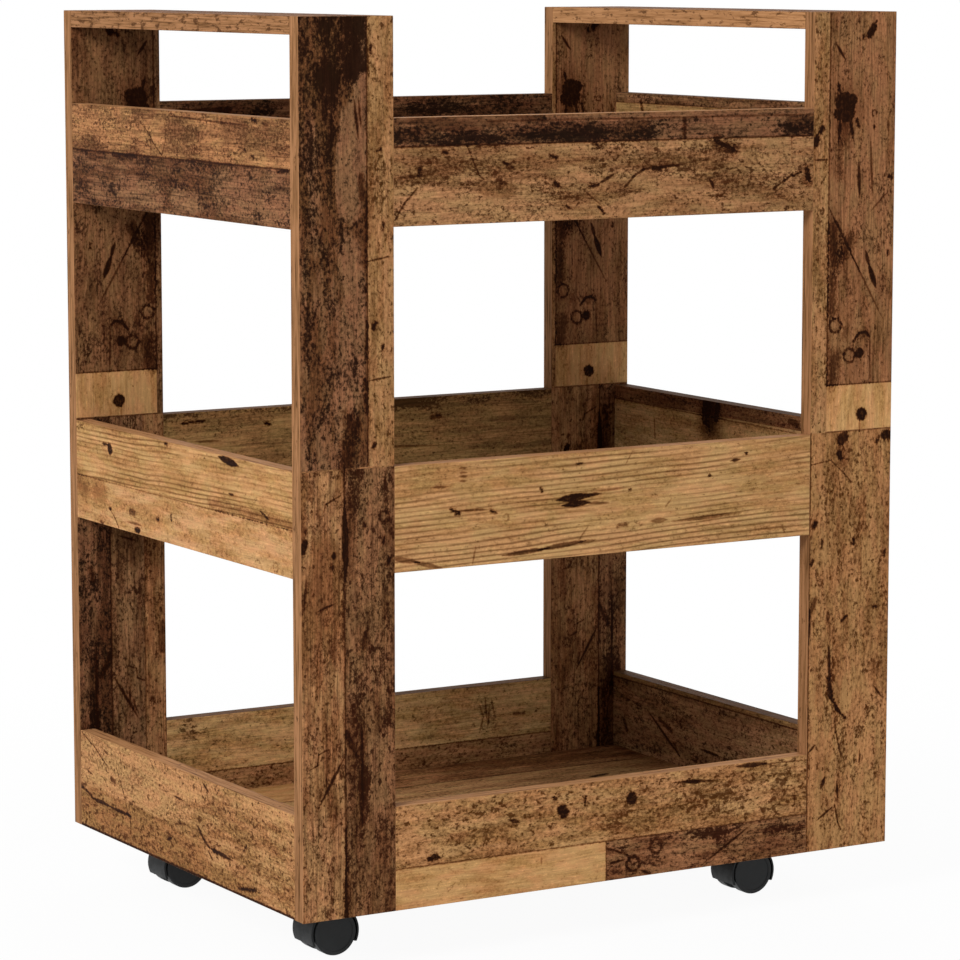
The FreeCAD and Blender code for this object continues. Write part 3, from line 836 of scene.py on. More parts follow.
BOTTOM_FRONT = Decor(
    (whole(SPECKLED_GOLD), below(35.5, PALE_GOLD, end=210), below(35.5, DARK_RED, start=210)),
    (
        *SEAM(
            (0, 35.5, LONG_RAIL, 35.5, 0.6, 0.75), (210, 0, 210, 35.5, 0.5, 0.6),
            (375, 86, LONG_RAIL, 85, 0.6, 0.7), (410, 40, 410, 62, 0.5, 0.6),
        ),
        *BLOT(
            (165, 68, 167, 66, 5.4), (33, 41, 40, 42, 2.9), (157, 80, 159, 78, 1.8), (189, 77, 188, 70, 1.4),
            (296, 79.5, 303, 78, 1.5),
        ),
        *CUT(
            (112, 65, 122, 63, 2), (346, 87, 380, 86.5, 2.4), (278, 80, 324, 77, 1.6),
            (310, 2, 364, 33, 1.2), (212, 15, 231, 17, 1.4), (245, 6, 258, 0, 1.4),
            (144, 30, 144, 22, 0.8, 0.5),
        ),
        *SHADE(
            (213, 31, 232, 30, 4, 0.9), (272, 30, 330, 30, 4, 1), (322, 29, 345, 30, 5, 1.1),
            (329, 24, 333, 12, 6, 0.9), (385, 28, 412, 20, 7, 0.9),
        ),
        *FADE((285, 12, 298, 10, 5, 1.2)),
        *DUST(
            (215, 50, 225, 60, 10, 0.8), (310, 65, 340, 55, 14, 0.7), (385, 45, 395, 70, 10, 0.6),
            (40, 60, 110, 68, 16, 0.4), (250, 66, 420, 62, 22, 0.4),
        ),
        *crack(0.9, (212, 29), (232, 21), (235, 14)),
        *holes((236.5, 70.5, 5.8)),
        ring(238, 12, 6.4, 1.5, 0.9),
        ring(262, 25, 6.0, 1.5, 0.85),
    ),
)

TOP_LEFT = Decor(
    (whole(MOTTLED_STREAKED), above(48.5, TAN_LIGHT)),
    (
        *SEAM((0, 48.5, SIDE_RAIL, 48.5, 0.9, 0.85), (200, 85, 345, 82, 0.8, 0.75)),
        *BLOT(
            (85, 47, 130, 47, 1.6, 0.8), (398, 46, 416, 47.5, 1.6), (354, 87, 361, 86, 2.2),
            (340, 62, 342, 60, 1.3), (352, 57, 356, 56, 1.6),
        ),
        *CUT((370, 85, 384, 83, 1.6, 0.7)),
        *SHADE(
            (132, 64, 162, 64, 4, 1), (250, 78, 300, 76, 8, 0.4), (185, 30, 225, 30, 7, 0.8),
            (232, 44, 290, 40, 6, 0.6), (262, 10, 292, 10, 7, 0.6), (10, 24, 90, 12, 10, 0.3),
        ),
        *GLOW((100, 20, 175, 12, 10, 0.2), (210, 15, 245, 12, 7, 0.5), (300, 28, 420, 14, 14, 0.15)),
        *FADE(
            (25, 66, 45, 52, 8, -0.9), (0, 75, 110, 72, 14, 0.9), (100, 20, 175, 12, 10, 0.6),
            (210, 15, 245, 12, 7, 1.2), (300, 28, 420, 14, 16, 0.6),
        ),
        *crack(0.6, (143, 77), (156, 70), (168, 60), (186, 49)),
        *crack(0.6, (190, 78), (192, 66), (185, 52)),
    ),
)

MIDDLE_LEFT = Decor(
    (whole(RIPPLED), below(40, PALE_SPECKLED)),
    (
        *SEAM((0, 40.2, SIDE_RAIL, 40.2, 0.5, 0.6)),
        *BLOT(
            (70.5, 71.5, 72, 70, 4.6, 1), (184, 88, 188, 88, 1.6), (112, 19, 120, 18, 3, 0.75),
            (123, 4, 129, 4, 2.6), (166, 19, 170, 18.5, 1.7), (194, 25, 195, 21, 1.6),
            (68, 17, 72, 16, 1.3, 0.8), (50, 2, 54, 1, 1.8, 0.8),
        ),
        *CUT(
            (54, 74, 68, 74, 1.6), (285, 87.6, 325, 83.4, 3.4, 1.1), (305, 58, 315, 57.5, 1.2),
            (104, 9, 136, 9, 1.3, 0.7), (362, 50, 380, 44, 1.5, 0.6),
        ),
        *SMUDGE((270, 46, 420, 43.5, 4, 0.4), (4, 34, 18, 28, 9, 0.5), (40, 29, 52, 27, 8, 0.4)),
        *SHADE((2, 86, 14, 88, 5, 2)),
        *FADE((190, 56, 220, 50, 8, -0.5), (4, 34, 18, 28, 12, -1.6), (42, 30, 52, 28, 10, -1.2)),
        *DUST((200, 23, 225, 22, 8, 0.6)),
        *crack(0.6, (70, 16), (80, 9), (88, 1)),
        ring(390, 6, 4, 0.6, 0.5),
    ),
)

BOTTOM_LEFT = Decor(
    (whole(SPECKLED_GOLD),),
    (
        *SEAM((0, 0.8, SIDE_RAIL, 0.8, 1.8, 0.95)),
        *BLOT(
            (65, 56, 73, 54, 2, 0.8), (2, 38, 10, 40, 2, 0.8), (98, 29, 104, 28, 1.5), (272, 30, 276, 29, 2),
            (328, 41, 332, 45, 1.4), (318, 6, 350, 11, 1.7), (196, 39, 215, 43, 1.2, 0.7),
        ),
        *CUT(
            (24, 30, 62, 29.5, 2.2), (58, 29, 107, 28.5, 1.7), (104, 28, 106, 14, 0.9),
            (260, 31, 308, 28, 2), (260, 28, 270, 20, 1.2), (178, 21, 191, 26, 1.6), (249, 87, 264, 79, 1.5),
            (194, 64, 212, 63, 1.2),
        ),
        *FADE((0, 70, 200, 66, 22, 0.6), (20, 18, 235, 14, 17, -0.9)),
        *DUST((270, 60, 410, 40, 30, 0.35), (110, 25, 240, 35, 14, 0.3), (10, 16, 230, 14, 14, 0.45)),
        *crack(0.6, (3, 88), (30, 79), (60, 64)),
        *crack(0.6, (76, 68), (90, 48), (100, 29)),
        *crack(1.3, (0, 36), (12, 35), (26, 30)),
        *crack(1.5, (241, 45), (252, 36), (262, 31)),
    ),
)

TOP_REAR = Decor(
    (whole(DARK_RED), above(60, SMOKED)),
    (
        *SEAM((0, 60, LONG_RAIL, 60, 0.8)),
        *BLOT((10, 79, 70, 80, 3, 0.9)),
        *CUT((40, 40, 120, 36, 1.6)),
        *SHADE((60, 76, 120, 74, 8, 0.8), (260, 78, 330, 80, 7, 0.9)),
        *GLOW((130, 74, 250, 72, 9, 0.5)),
        ring(300, 25, 6),
    ),
)

MIDDLE_REAR = Decor(
    (whole(OLIVE),),
    (
        *BLOT(
            (20, 80, 42, 81, 1.3), (150, 82, 156, 80, 1.6, 0.8), (107, 75, 110, 74, 2),
            (288, 70, 296, 70, 2.6, 0.8),
        ),
        *CUT((170, 86, 214, 84, 1.6, 0.8), (30, 62, 60, 61, 1.2, 0.7), (200, 45, 300, 42, 1.2, 0.6)),
        *SHADE((-5, 89, 428, 89, 6, 1.7), (245, 86, 290, 80, 6, 1.6), (330, 82, 360, 80, 5, 1.2)),
        *FADE((-5, 90, 428, 90, 8, -1.2)),
    ),
)

BOTTOM_REAR = Decor(
    # The main plank is the paler copy of olive: painted light on a shaded inner face.
    (whole(OLIVE_PAINTED_LIT), below(36, SPECKLED_BROWN)),
    (
        *SEAM((0, 36, LONG_RAIL, 36, 0.6)),
        *BLOT((380, 58, 392, 57.5, 1.5, 0.8)),
        *CUT(
            (340, 72, 346, 56, 1.1, 0.6), (347, 78, 349, 54, 1.2, 0.7), (352, 70, 350, 46, 1.2, 0.7),
            (354, 76, 358, 58, 1, 0.6), (345, 58, 341, 44, 1, 0.6),
        ),
        *FADE((30, 48, 40, 47, 5, -0.9)),
        *DUST((346, 74, 352, 48, 8, 0.9), (22, 80, 24, 74, 9, 1.4)),
    ),
)

TOP_RIGHT = Decor(
    (whole(OLIVE), above(80, CHESTNUT)),
    (
        *SEAM((0, 80, SIDE_RAIL, 80, 0.7, 0.4)),
        *BLOT((45, 82, 48, 70, 2, 0.8), (330, 70, 345, 69, 2, 0.8)),
        *CUT((120, 72, 200, 66, 1.2, 0.7)),
    ),
)

MIDDLE_RIGHT = Decor(
    # The main plank is the paler copy of olive: painted light on a shaded inner face.
    (whole(OLIVE_PAINTED_LIT), above(76, DARK_RED)),
    (
        *SEAM((0, 76, 423, 72, 0.7, 0.7), (72, 62, 73, 44, 0.8, 0.7)),
        *BLOT((162, 86, 161, 72, 6, 0.9), (182, 87, 179, 74, 3.4, 0.9), (300, 83, 312, 82, 3, 0.8)),
        *CUT((166, 70, 168, 58, 1.2)),
        *SMUDGE((170, 88, 168, 68, 17, 0.95)),
    ),
)

BOTTOM_RIGHT = Decor(
    (whole(RUSSET), above(85, OLIVE)),
    (
        *SEAM((0, 85, 423, 84, 0.8)),
        *BLOT((84, 55, 106, 47, 2.6, 0.85), (110, 36, 118, 26, 1.6, 0.8), (20, 44, 26, 34, 2.2, 0.8)),
        *CUT((60, 62, 124, 22, 1.6), (155, 38, 192, 36, 1.5)),
        *FADE((150, 48, 260, 55, 14, 0.7)),
    ),
)

RAILS = {
    "top": (TOP_FRONT, TOP_REAR, TOP_LEFT, TOP_RIGHT),
    "middle": (MIDDLE_FRONT, MIDDLE_REAR, MIDDLE_LEFT, MIDDLE_RIGHT),
    "bottom": (BOTTOM_FRONT, BOTTOM_REAR, BOTTOM_LEFT, BOTTOM_RIGHT),
}

# Decor of the shelves: along from the left end, across from the front. Decor of the handles

SHELF_LENGTH = 570.0
SHELF_DEPTH = 420.0
SHELF_SEAM = 0.8  # half width


def shelf_decor(finishes: list[PlankFinish], edges: list[float], marks: list[Mark]) -> Decor:
    """A shelf of parallel planks.

    Args:
        finishes: one for each plank, from the front.
        edges: where the planks meet, from the front.
        marks: on the planks.

    Returns:
        The decor, with a seam at each meeting.
    """
    limits = [-BEYOND, *edges, SHELF_DEPTH + BEYOND]
    end = SHELF_LENGTH + BEYOND
    planks = [Plank(f, (-BEYOND, low), (end, high)) for f, low, high in zip(finishes, limits, limits[1:])]
    seams = SEAM(*((0, v, SHELF_LENGTH, v, SHELF_SEAM) for v in edges))
    return Decor(tuple(planks), tuple(seams + marks))


# A pale plank end at the back left of the bottom shelf, edged by a dark seam: painted light where the key
# light falls between the left rail and the front-left post.
BOTTOM_SHELF_PAINTED_LIGHT = Decor(
    (Plank(PALE_GOLD, (-BEYOND, 350), (240, SHELF_DEPTH + BEYOND)),),
    tuple(SEAM((240, 350, 240, SHELF_DEPTH, 0.7))),
)
BOTTOM_SHELF = shelf_decor(
    [WARM, REDDISH, WARM, TAN],
    [150, 255, 350],
    [
        *holes((410, 200, 5)),
        *CUT((120, 90, 300, 96, 1.4), (60, 310, 200, 318, 1.2)),
        *BLOT((470, 300, 486, 303, 3)),
    ],
)
MIDDLE_SHELF = shelf_decor(
    [REDDISH, SPECKLED, WARM, BROWN_STREAKED],
    [96, 210, 330],
    [*holes((150, 270, 5)), *BLOT((380, 150, 398, 154, 4)), *CUT((60, 60, 240, 66, 1.4)), ring(480, 260, 7)],
)
TOP_SHELF = shelf_decor(
    [SPECKLED, RIPPLED, TAN, MOTTLED],
    [110, 205, 318],
    [
        *holes((130, 62, 5.5), (430, 255, 5.5)),
        *BLOT((250, 160, 275, 162, 3)),
        *CUT((330, 60, 480, 72, 1.6)),
        *SHADE((300, 370, 380, 380, 18, 1.2)),
        *crack(1.2, (70, 250), (120, 262), (170, 258), (240, 270)),
    ],
)
# The bottom shelf carries a patch of painted light at its back left.
SHELVES = {"bottom": BOTTOM_SHELF + BOTTOM_SHELF_PAINTED_LIGHT, "middle": MIDDLE_SHELF, "top": TOP_SHELF}

HANDLE = Decor(
    (
        Plank(REDDISH, (-BEYOND, -BEYOND), (RAIL_END, POST_SPAN)),
        Plank(DARK_RED, (-BEYOND, 46), (RAIL_END, POST_SPAN)),
    ),
    (
        *SEAM((0, 46, SIDE_RAIL, 46, 0.7, 0.7)),
        *BLOT((300, 20, 318, 22, 2.4)),
        *CUT((200, 70, 330, 62, 1.4)),
        *DUST((60, 70, 110, 66, 12, 0.8)),
        *holes((120, 24, 4.6)),
    ),
)


# Boards


class BoardKind(Enum):
    """How a board lies: its grain's axis, the axis across it, and which of the two run backwards."""

    POST = (Axis.Z, Axis.X, False, True)
    LONG_RAIL = (Axis.X, Axis.Z, False, False)
    SIDE_RAIL = (Axis.Y, Axis.Z, True, False)
    SHELF = (Axis.X, Axis.Y, False, False)
    HANDLE = (Axis.Y, Axis.X, True, False)


@dataclass
class Board:
    """One board of the frame and the decor on its faces."""

    node: str
    kind: BoardKind
    decor: Decor
    seed: int
    decor_side: float = -1.0  # the sign of the face that the decor is drawn for
    edge: PlankFinish = EDGE
    edge_specks: float = 0.0

    SEED_STEP = 37.0
    PLANK_SEED_STEP = 11.0
    REVERSE_SEED = 500.0
    FACING = 0.7  # a broad face's normal is longer than this through the board
    RIM = Noise((3.0, 2.0, 2.0), 2.0, 0.6)  # makes the rims of marks ragged
    WORN = (0.38, 0.52, 0.92, 1.0)  # share of a cut's dark that stays on the grit
    RUST = (1.0, 0.68, 0.5, 1.0)  # tint of the wood under a thin cut or smudge
    ROUGHNESS = (0.2, 0.8, 0.62, 0.46)
    RELIEF = (0.22, 0.0006)  # strength, and depth in metres
    SHEEN = 0.02  # specular level of the dull satin foil

    def dress(self, groups: WoodGroups) -> None:
        """Gives the board's node its own decor material."""
        bench = SurfaceBench(f"{self.node}_decor")
        along, across, depth, broad = self._place(bench)
        flat = bench.join(along, across, 0.0)
        rough = bench.math("SUBTRACT", bench.noise(bench.join(along, across, depth), self.RIM), 0.5)

        marks = self._marks(bench, groups, flat, rough)
        plank = self._planks(bench, groups, (along, across, depth), flat, marks)
        worn = bench.ramp(plank["Grit"], *self.WORN)
        cuts = bench.math("MULTIPLY", bench.math("MINIMUM", marks[Effect.CUT], 1.0), worn)
        rusty = bench.vector("MULTIPLY", plank["Colour"], bench.blend(cuts, WHITE, self.RUST))
        face = bench.blend(cuts, rusty, CUT_COLOUR)
        edge_feeds = dict(zip(groups.COLOURS, self.edge.colours()))
        edge_feeds |= {"Place": bench.join(along, across, depth), "Specks": self.edge_specks}
        edge = bench.call(groups.edge_band, edge_feeds)["Colour"]

        bench.dress({
            "Base Color": bench.blend(broad, edge, face),
            "Roughness": bench.ramp(plank["Height"], *self.ROUGHNESS),
            "Normal": bench.relief(plank["Height"], *self.RELIEF),
            "Specular IOR Level": self.SHEEN,
        })
        for slot in frame["nodes"][self.node].material_slots:
            slot.material = bench.material
        LOG.info("%s: %d planks, %d marks", self.node, len(self.decor.planks), len(self.decor.marks))

    def _place(self, bench: Bench) -> tuple[Socket, ...]:
        """Places in millimetres along, across and through the board, and the mask of its broad faces."""
        grain, cross, back_along, back_across = self.kind.value
        through = next(a for a in Axis if a not in (grain, cross))
        low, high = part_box(self.node)
        coordinates = bench.node("ShaderNodeTexCoord").outputs
        parts = bench.split(coordinates["Object"])
        normal = bench.split(coordinates["Normal"])[through.value]

        def measured(axis: Axis, backwards: bool) -> Socket:
            """The distance from the board's end along an axis."""
            end = high[axis.value] if backwards else low[axis.value]
            scale = -MILLIMETRES if backwards else MILLIMETRES
            return bench.math("MULTIPLY_ADD", parts[axis.value], scale, -end * scale)

        along = measured(grain, back_along)
        across = measured(cross, back_across)
        depth = measured(through, False)
        length = (high[grain.value] - low[grain.value]) * MILLIMETRES
        broad = bench.math("GREATER_THAN", bench.math("ABSOLUTE", normal), self.FACING)
        reverse = bench.math("LESS_THAN", bench.math("MULTIPLY", normal, self.decor_side), -self.FACING)
        turned = bench.math("MULTIPLY_ADD", along, -2.0, length)
        along = bench.math("MULTIPLY_ADD", reverse, turned, along)
        depth = bench.math("MULTIPLY_ADD", reverse, self.REVERSE_SEED, depth)
        depth = bench.math("ADD", depth, self.seed * self.SEED_STEP)
        return along, across, depth, broad

    def _marks(self, bench: Bench, groups: WoodGroups, flat: Feed, rough: Feed) -> dict[Effect, Feed]:
        """Sums the marks of each effect over the board."""
        sums: dict[Effect, Feed] = dict.fromkeys(Effect, 0.0)
        for mark in self.decor.marks:
            mask = bench.call(*mark.group(groups, {"Place": flat, "Noise": rough}))["Mask"]
            sums[mark.effect] = bench.math("MULTIPLY_ADD", mask, mark.amount, sums[mark.effect])
        return sums

    def _planks(
        self, bench: Bench, groups: WoodGroups, place: tuple, flat: Feed, marks: dict[Effect, Feed]
    ) -> bpy.types.NodeOutputs:
        """Picks each plank's finish by its zone and lays the wood once with the picked values.

        Args:
            bench: of the board's material.
            groups: the shared groups.
            place: along, across and through the board.
            flat: the place without its depth.
            marks: the sum of the marks of each effect.

        Returns:
            The outputs of the wood's group.
        """
        picked: list[Feed] = []
        for number, plank in enumerate(self.decor.planks):
            finish = plank.finish
            values = [*finish.colours(), (finish.tone, finish.stain, finish.specks)]
            values.append((finish.ripple, finish.streak, number * self.PLANK_SEED_STEP))
            if not picked:
                picked = values
                continue
            corners = {"Place": flat, "Low": (*plank.low, 0.0), "High": (*plank.high, 0.0)}
            mask = bench.call(groups.zone, corners)["Mask"]
            kinds = ("RGBA", "RGBA", "RGBA", "VECTOR", "VECTOR")
            picked = [bench.blend(mask, old, new, kind) for old, new, kind in zip(picked, values, kinds)]
        *colours, marked, plain = picked
        tone, stain, specks = marked if isinstance(marked, tuple) else bench.split(marked)
        ripple, streak, seed = plain if isinstance(plain, tuple) else bench.split(plain)
        return bench.call(groups.old_plank, {
            **dict(zip(groups.COLOURS, colours)),
            "Tone": bench.math("ADD", tone, marks[Effect.TONE]),
            "Stain": bench.math("ADD", stain, marks[Effect.STAIN]),
            "Specks": bench.math("ADD", specks, marks[Effect.SPECKS]),
            "Ripple": ripple,
            "Streak": streak,
            "Place": bench.join(place[0], place[1], bench.math("ADD", place[2], seed)),
        })


class CartFrame:
    """All boards of the cart, with the decor of each."""

    # The front and left rails and the right handle take the edge band's painted lit copy. The rear and right
    # rails take its painted shade copy.
    RAIL_SIDES = (
        ("front", BoardKind.LONG_RAIL, EDGE_PAINTED_LIT),
        ("rear", BoardKind.LONG_RAIL, EDGE_PAINTED_SHADE),
        ("left", BoardKind.SIDE_RAIL, EDGE_PAINTED_LIT),
        ("right", BoardKind.SIDE_RAIL, EDGE_PAINTED_SHADE),
    )
    HANDLE_SIDES = (("left", EDGE, 1.5), ("right", EDGE_PAINTED_LIT, 1.1))  # with the edges' finish and specks

    def __init__(self) -> None:
        """Lists the boards in the order of their seeds."""
        self.boards: list[Board] = []
        for corner, decor in POSTS.items():
            self._add(f"{corner}_post", BoardKind.POST, decor)
        for tier, decors in RAILS.items():
            for (side, kind, edge), decor in zip(self.RAIL_SIDES, decors):
                self._add(f"{tier}_{side}_rail", kind, decor, edge=edge)
        for tier, decor in SHELVES.items():
            self._add(f"{tier}_shelf", BoardKind.SHELF, decor, decor_side=1.0)
        for side, edge, specks in self.HANDLE_SIDES:
            extra = {"decor_side": 1.0, "edge": edge, "edge_specks": specks}
            self._add(f"{side}_handle", BoardKind.HANDLE, HANDLE, **extra)

    def _add(self, node: str, kind: BoardKind, decor: Decor, **extra: object) -> None:
        """Adds one board with the next seed."""
        self.boards.append(Board(node, kind, decor, len(self.boards) + 1, **extra))

    def dress(self, groups: WoodGroups) -> None:
        """Dresses every board."""
        for board in self.boards:
            board.dress(groups)


# Casters and hardware


@dataclass(frozen=True)
class HardFinish:
    """A plastic or metal finish with a fine skin."""

    name: str
    base: str
    worn: str
    metallic: float
    roughness: tuple[float, float]
    skin_size: float  # of the skin's grain, in millimetres
    skin_depth: float  # in metres
    sheen: float = 0.5  # specular level

    SKIN_STRENGTH = 0.3

    def material(self, skin: Tree) -> Material:
        """Builds the finish's material."""
        bench = SurfaceBench(self.name)
        place = bench.node("ShaderNodeTexCoord").outputs["Object"]
        made = bench.call(skin, {"Place": bench.scaled(place, MILLIMETRES / self.skin_size)})
        bench.dress({
            "Base Color": bench.blend(made["Mottle"], screen_colour(self.base), screen_colour(self.worn)),
            "Roughness": bench.ramp(made["Mottle"], 0.0, 1.0, *self.roughness),
            "Normal": bench.relief(made["Grain"], self.SKIN_STRENGTH, self.skin_depth),
            "Metallic": self.metallic,
            "Specular IOR Level": self.sheen,
        })
        return bench.material


SKIN_GRAIN = Noise((1.0, 1.0, 1.0), 2.0, 0.6)
SKIN_MOTTLE = Noise((14.0, 14.0, 14.0), 4.0, 0.65)
SKIN_MOTTLE_RAMP: Ramp = (0.35, 0.68)
HOOD_PLASTIC = HardFinish("hood_plastic", "161819", "1c1e1f", 0.0, (0.48, 0.60), 0.5, 0.00012, 0.2)
WHEEL_PLASTIC = HardFinish("wheel_plastic", "1d1f20", "242627", 0.0, (0.45, 0.58), 0.9, 0.00006, 0.2)
ZINC = HardFinish("zinc_plate", "a9a8a2", "c8c7c0", 1.0, (0.30, 0.44), 0.7, 0.00004)
CASTER_STEEL = HardFinish("caster_steel", "9c9c99", "bcbbb6", 1.0, (0.28, 0.42), 1.1, 0.00004)
BEECH = HardFinish("dowel_beech", "c09b6c", "d4b388", 0.0, (0.55, 0.7), 0.8, 0.0001)


def hard_skin_group() -> Tree:
    """The fine grain and soft mottle of moulded plastic and plated metal."""
    group = SharedGroup("HardSkin", {"Place": VECTOR}, {"Grain": FLOAT, "Mottle": FLOAT})
    b, place = group.bench, group.given["Place"]
    grain, mottle = b.noise(place, SKIN_GRAIN), b.noise(place, SKIN_MOTTLE)
    return group.give(Grain=grain, Mottle=b.ramp(mottle, *SKIN_MOTTLE_RAMP))


class Hardware:
    """Casters, screws, cam locks and dowels."""

    FINISHES = {
        "caster_hoods": HOOD_PLASTIC,
        "caster_wheels": WHEEL_PLASTIC,
        "zinc_fasteners": ZINC,
        "caster_steel": CASTER_STEEL,
        "dowels": BEECH,
    }

    def dress(self) -> dict[str, Material]:
        """Gives each hardware node the material of its slot and returns the materials by slot."""
        skin = hard_skin_group()
        made = {slot: finish.material(skin) for slot, finish in self.FINISHES.items()}
        for row in frame["record"]["subparts"]:
            material = made.get(row["material_slot"])
            if material is None:
                continue
            for slot in frame["nodes"][row["node"]].material_slots:
                slot.material = material
            LOG.info("%s: %s", row["node"], material.name)
        return made


# Screws and cam locks


@dataclass(frozen=True)
class PanScrew:
    """Sizes of a pan-head screw, in metres."""

    head_radius: float = 0.0035
    rim_height: float = 0.0009
    crown_height: float = 0.0011
    recess_length: float = 0.0040
    recess_width: float = 0.0009
    recess_depth: float = 0.0011
    shank_radius: float = 0.00175
    shank_length: float = 0.011
    point_length: float = 0.003

    CROWN_STEPS = ((0.55, 0.93), (0.30, 0.84), (0.15, 0.68))  # share of the rise, and how wide it stays


@dataclass(frozen=True)
class CamLock:
    """Sizes of a cam lock, in metres."""

    radius: float = 0.00745
    depth: float = 0.012
    rim: float = 0.0011
    dish: float = 0.0004
    recess_length: float = 0.009
    recess_width: float = 0.0014
    recess_depth: float = 0.0016
    tunnel_radius: float = 0.0036
    tunnel_length: float = 0.015
    tunnel_back: float = 0.0019  # how far the bolt's tunnel reaches past the cam's axis
    bolt_level: float = 0.0075  # from the cam's face to the bolt's axis

    DISH_FLOOR = 0.97  # how wide the dish's floor is, as a share of its mouth


class Repeater:
    """A Geometry Nodes tree that builds one small piece and sets a copy of it on every point of a mesh."""

    SIDES = 40
    SHARP = math.radians(32.0)  # edges above this angle stay sharp
    UPRIGHT = (0.0, 0.0, 0.0)
    HEAD_DOWN = (math.pi, 0.0, 0.0)
    LYING = (0.0, math.pi / 2, 0.0)

    def __init__(self, name: str, sizes: object) -> None:
        """Makes a tree with one named input for each size.

        Args:
            name: the tree's name.
            sizes: the dataclass of the piece's sizes.
        """
        self.sizes = asdict(sizes)
        self.tree = bpy.data.node_groups.new(name, "GeometryNodeTree")
        sockets = {"Points": "NodeSocketGeometry", "Material": "NodeSocketMaterial", "Seed": "NodeSocketInt"}
        for socket, kind in (sockets | dict.fromkeys(self.sizes, FLOAT)).items():
            self.tree.interface.new_socket(socket, in_out="INPUT", socket_type=kind)
        self.tree.interface.new_socket("Mesh", in_out="OUTPUT", socket_type="NodeSocketGeometry")
        self.bench = Bench(self.tree)
        self.given = self.bench.node("NodeGroupInput").outputs
        self.result = self.bench.node("NodeGroupOutput").inputs["Mesh"]

    def moved(self, mesh: Feed, level: Feed, out: Feed = 0.0, turn: tuple = UPRIGHT) -> Socket:
        """Returns a mesh turned and then moved up to a level and out along X."""
        feeds = {"Geometry": mesh, "Translation": self.bench.join(out, 0.0, level), "Rotation": turn}
        return self.bench.node("GeometryNodeTransform", feeds).outputs[0]

    def rod(self, radius: Feed, length: Feed) -> bpy.types.NodeOutputs:
        """Adds a round rod about its own middle and returns the node's outputs."""
        feeds = {"Vertices": self.SIDES, "Radius": radius, "Depth": length}
        return self.bench.node("GeometryNodeMeshCylinder", feeds, fill_type="NGON").outputs

    def standing(self, radius: Feed, height: Feed) -> tuple[Socket, Socket]:
        """Adds a rod that stands at level zero and returns it with the selection of its top face."""
        made = self.rod(radius, height)
        return self.moved(made["Mesh"], self.bench.math("MULTIPLY", height, 0.5)), made["Top"]

    def stepped(self, mesh: Feed, top: Feed, rise: Feed, share: Feed) -> tuple[Socket, Socket]:
        """Draws a top face up and shrinks it.

        Args:
            mesh: the mesh so far.
            top: the selection of its top face.
            rise: how far the face goes up.
            share: how wide it stays.

        Returns:
            The mesh and the selection of its new top face.
        """
        feeds = {"Mesh": mesh, "Selection": top, "Offset Scale": rise, "Individual": False}
        drawn = self.bench.node("GeometryNodeExtrudeMesh", feeds, mode="FACES").outputs
        feeds = {"Geometry": drawn["Mesh"], "Selection": drawn["Top"], "Scale": share}
        shrunk = self.bench.node("GeometryNodeScaleElements", feeds, domain="FACE").outputs[0]
        return shrunk, drawn["Top"]

    def cross(self, level: Feed) -> list[Socket]:
        """The two bars of a cross recess whose middle lies at a level."""
        g, b = self.given, self.bench
        long, wide = g["recess_length"], g["recess_width"]
        high = b.math("MULTIPLY", g["recess_depth"], 2.0)
        sizes = [b.join(*size, high) for size in ((long, wide), (wide, long))]
        bars = [b.node("GeometryNodeMeshCube", {"Size": size}).outputs[0] for size in sizes]
        return [self.moved(bar, level) for bar in bars]

    def cut(self, mesh: Feed, *tools: Feed) -> Socket:
        """Returns a mesh with others cut out of it."""
        made = self.bench.node("GeometryNodeMeshBoolean", {"Mesh 1": mesh}, operation="DIFFERENCE")
        for tool in tools:
            self.bench.feed(made.inputs["Mesh 2"], tool)
        return made.outputs[0]

    def finish(self, piece: Feed, turn: Feed) -> None:
        """Smooths the piece between its sharp edges and sets a turned copy on every point."""
        b = self.bench
        angle = b.node("GeometryNodeInputMeshEdgeAngle").outputs[0]
        sharp = b.math("GREATER_THAN", angle, self.SHARP)
        for domain, chosen, smooth in (("FACE", True, True), ("EDGE", sharp, False)):
            feeds = {0: piece, "Selection": chosen, "Shade Smooth": smooth}
            piece = b.node("GeometryNodeSetShadeSmooth", feeds, domain=domain).outputs[0]
        points = b.node("GeometryNodeMeshToPoints", {"Mesh": self.given["Points"]}).outputs[0]
        feeds = {"Points": points, "Instance": piece, "Rotation": b.join(0.0, 0.0, turn)}
        copies = b.node("GeometryNodeInstanceOnPoints", feeds).outputs[0]
        real = b.node("GeometryNodeRealizeInstances", {"Geometry": copies}).outputs[0]
        dressed = b.node("GeometryNodeSetMaterial", {"Geometry": real, "Material": self.given["Material"]})
        b.feed(self.result, dressed.outputs[0])

    def lay(self, name: str, spots: list[tuple], material: Material, seed: int = 1) -> bpy.types.Object:
        """Runs the tree over a list of spots.

        Args:
            name: of the new piece.
            spots: each a place and a turn about Z.
            material: of the piece.
            seed: of the random turns.

        Returns:
            The piece, a plain mesh at the origin.
        """
        points = bpy.data.meshes.new(f"{name}_points")
        points.from_pydata([place for place, _ in spots], [], [])
        turns = points.attributes.new("turn", "FLOAT", "POINT").data
        turns.foreach_set("value", [turn for _, turn in spots])
        piece = bpy.data.objects.new(name, points)
        bpy.context.scene.collection.objects.link(piece)
        modifier = piece.modifiers.new(self.tree.name, "NODES")
        modifier.node_group = self.tree
        values = {**self.sizes, "Material": material, "Seed": seed}
        for socket in self.tree.interface.items_tree:
            if socket.in_out == "INPUT" and socket.name in values:
                modifier[socket.identifier] = values[socket.name]
        shown = piece.evaluated_get(bpy.context.evaluated_depsgraph_get())
        mesh = bpy.data.meshes.new_from_object(shown)
        piece.modifiers.clear()
        piece.data = mesh
        mesh.name = name
        return piece


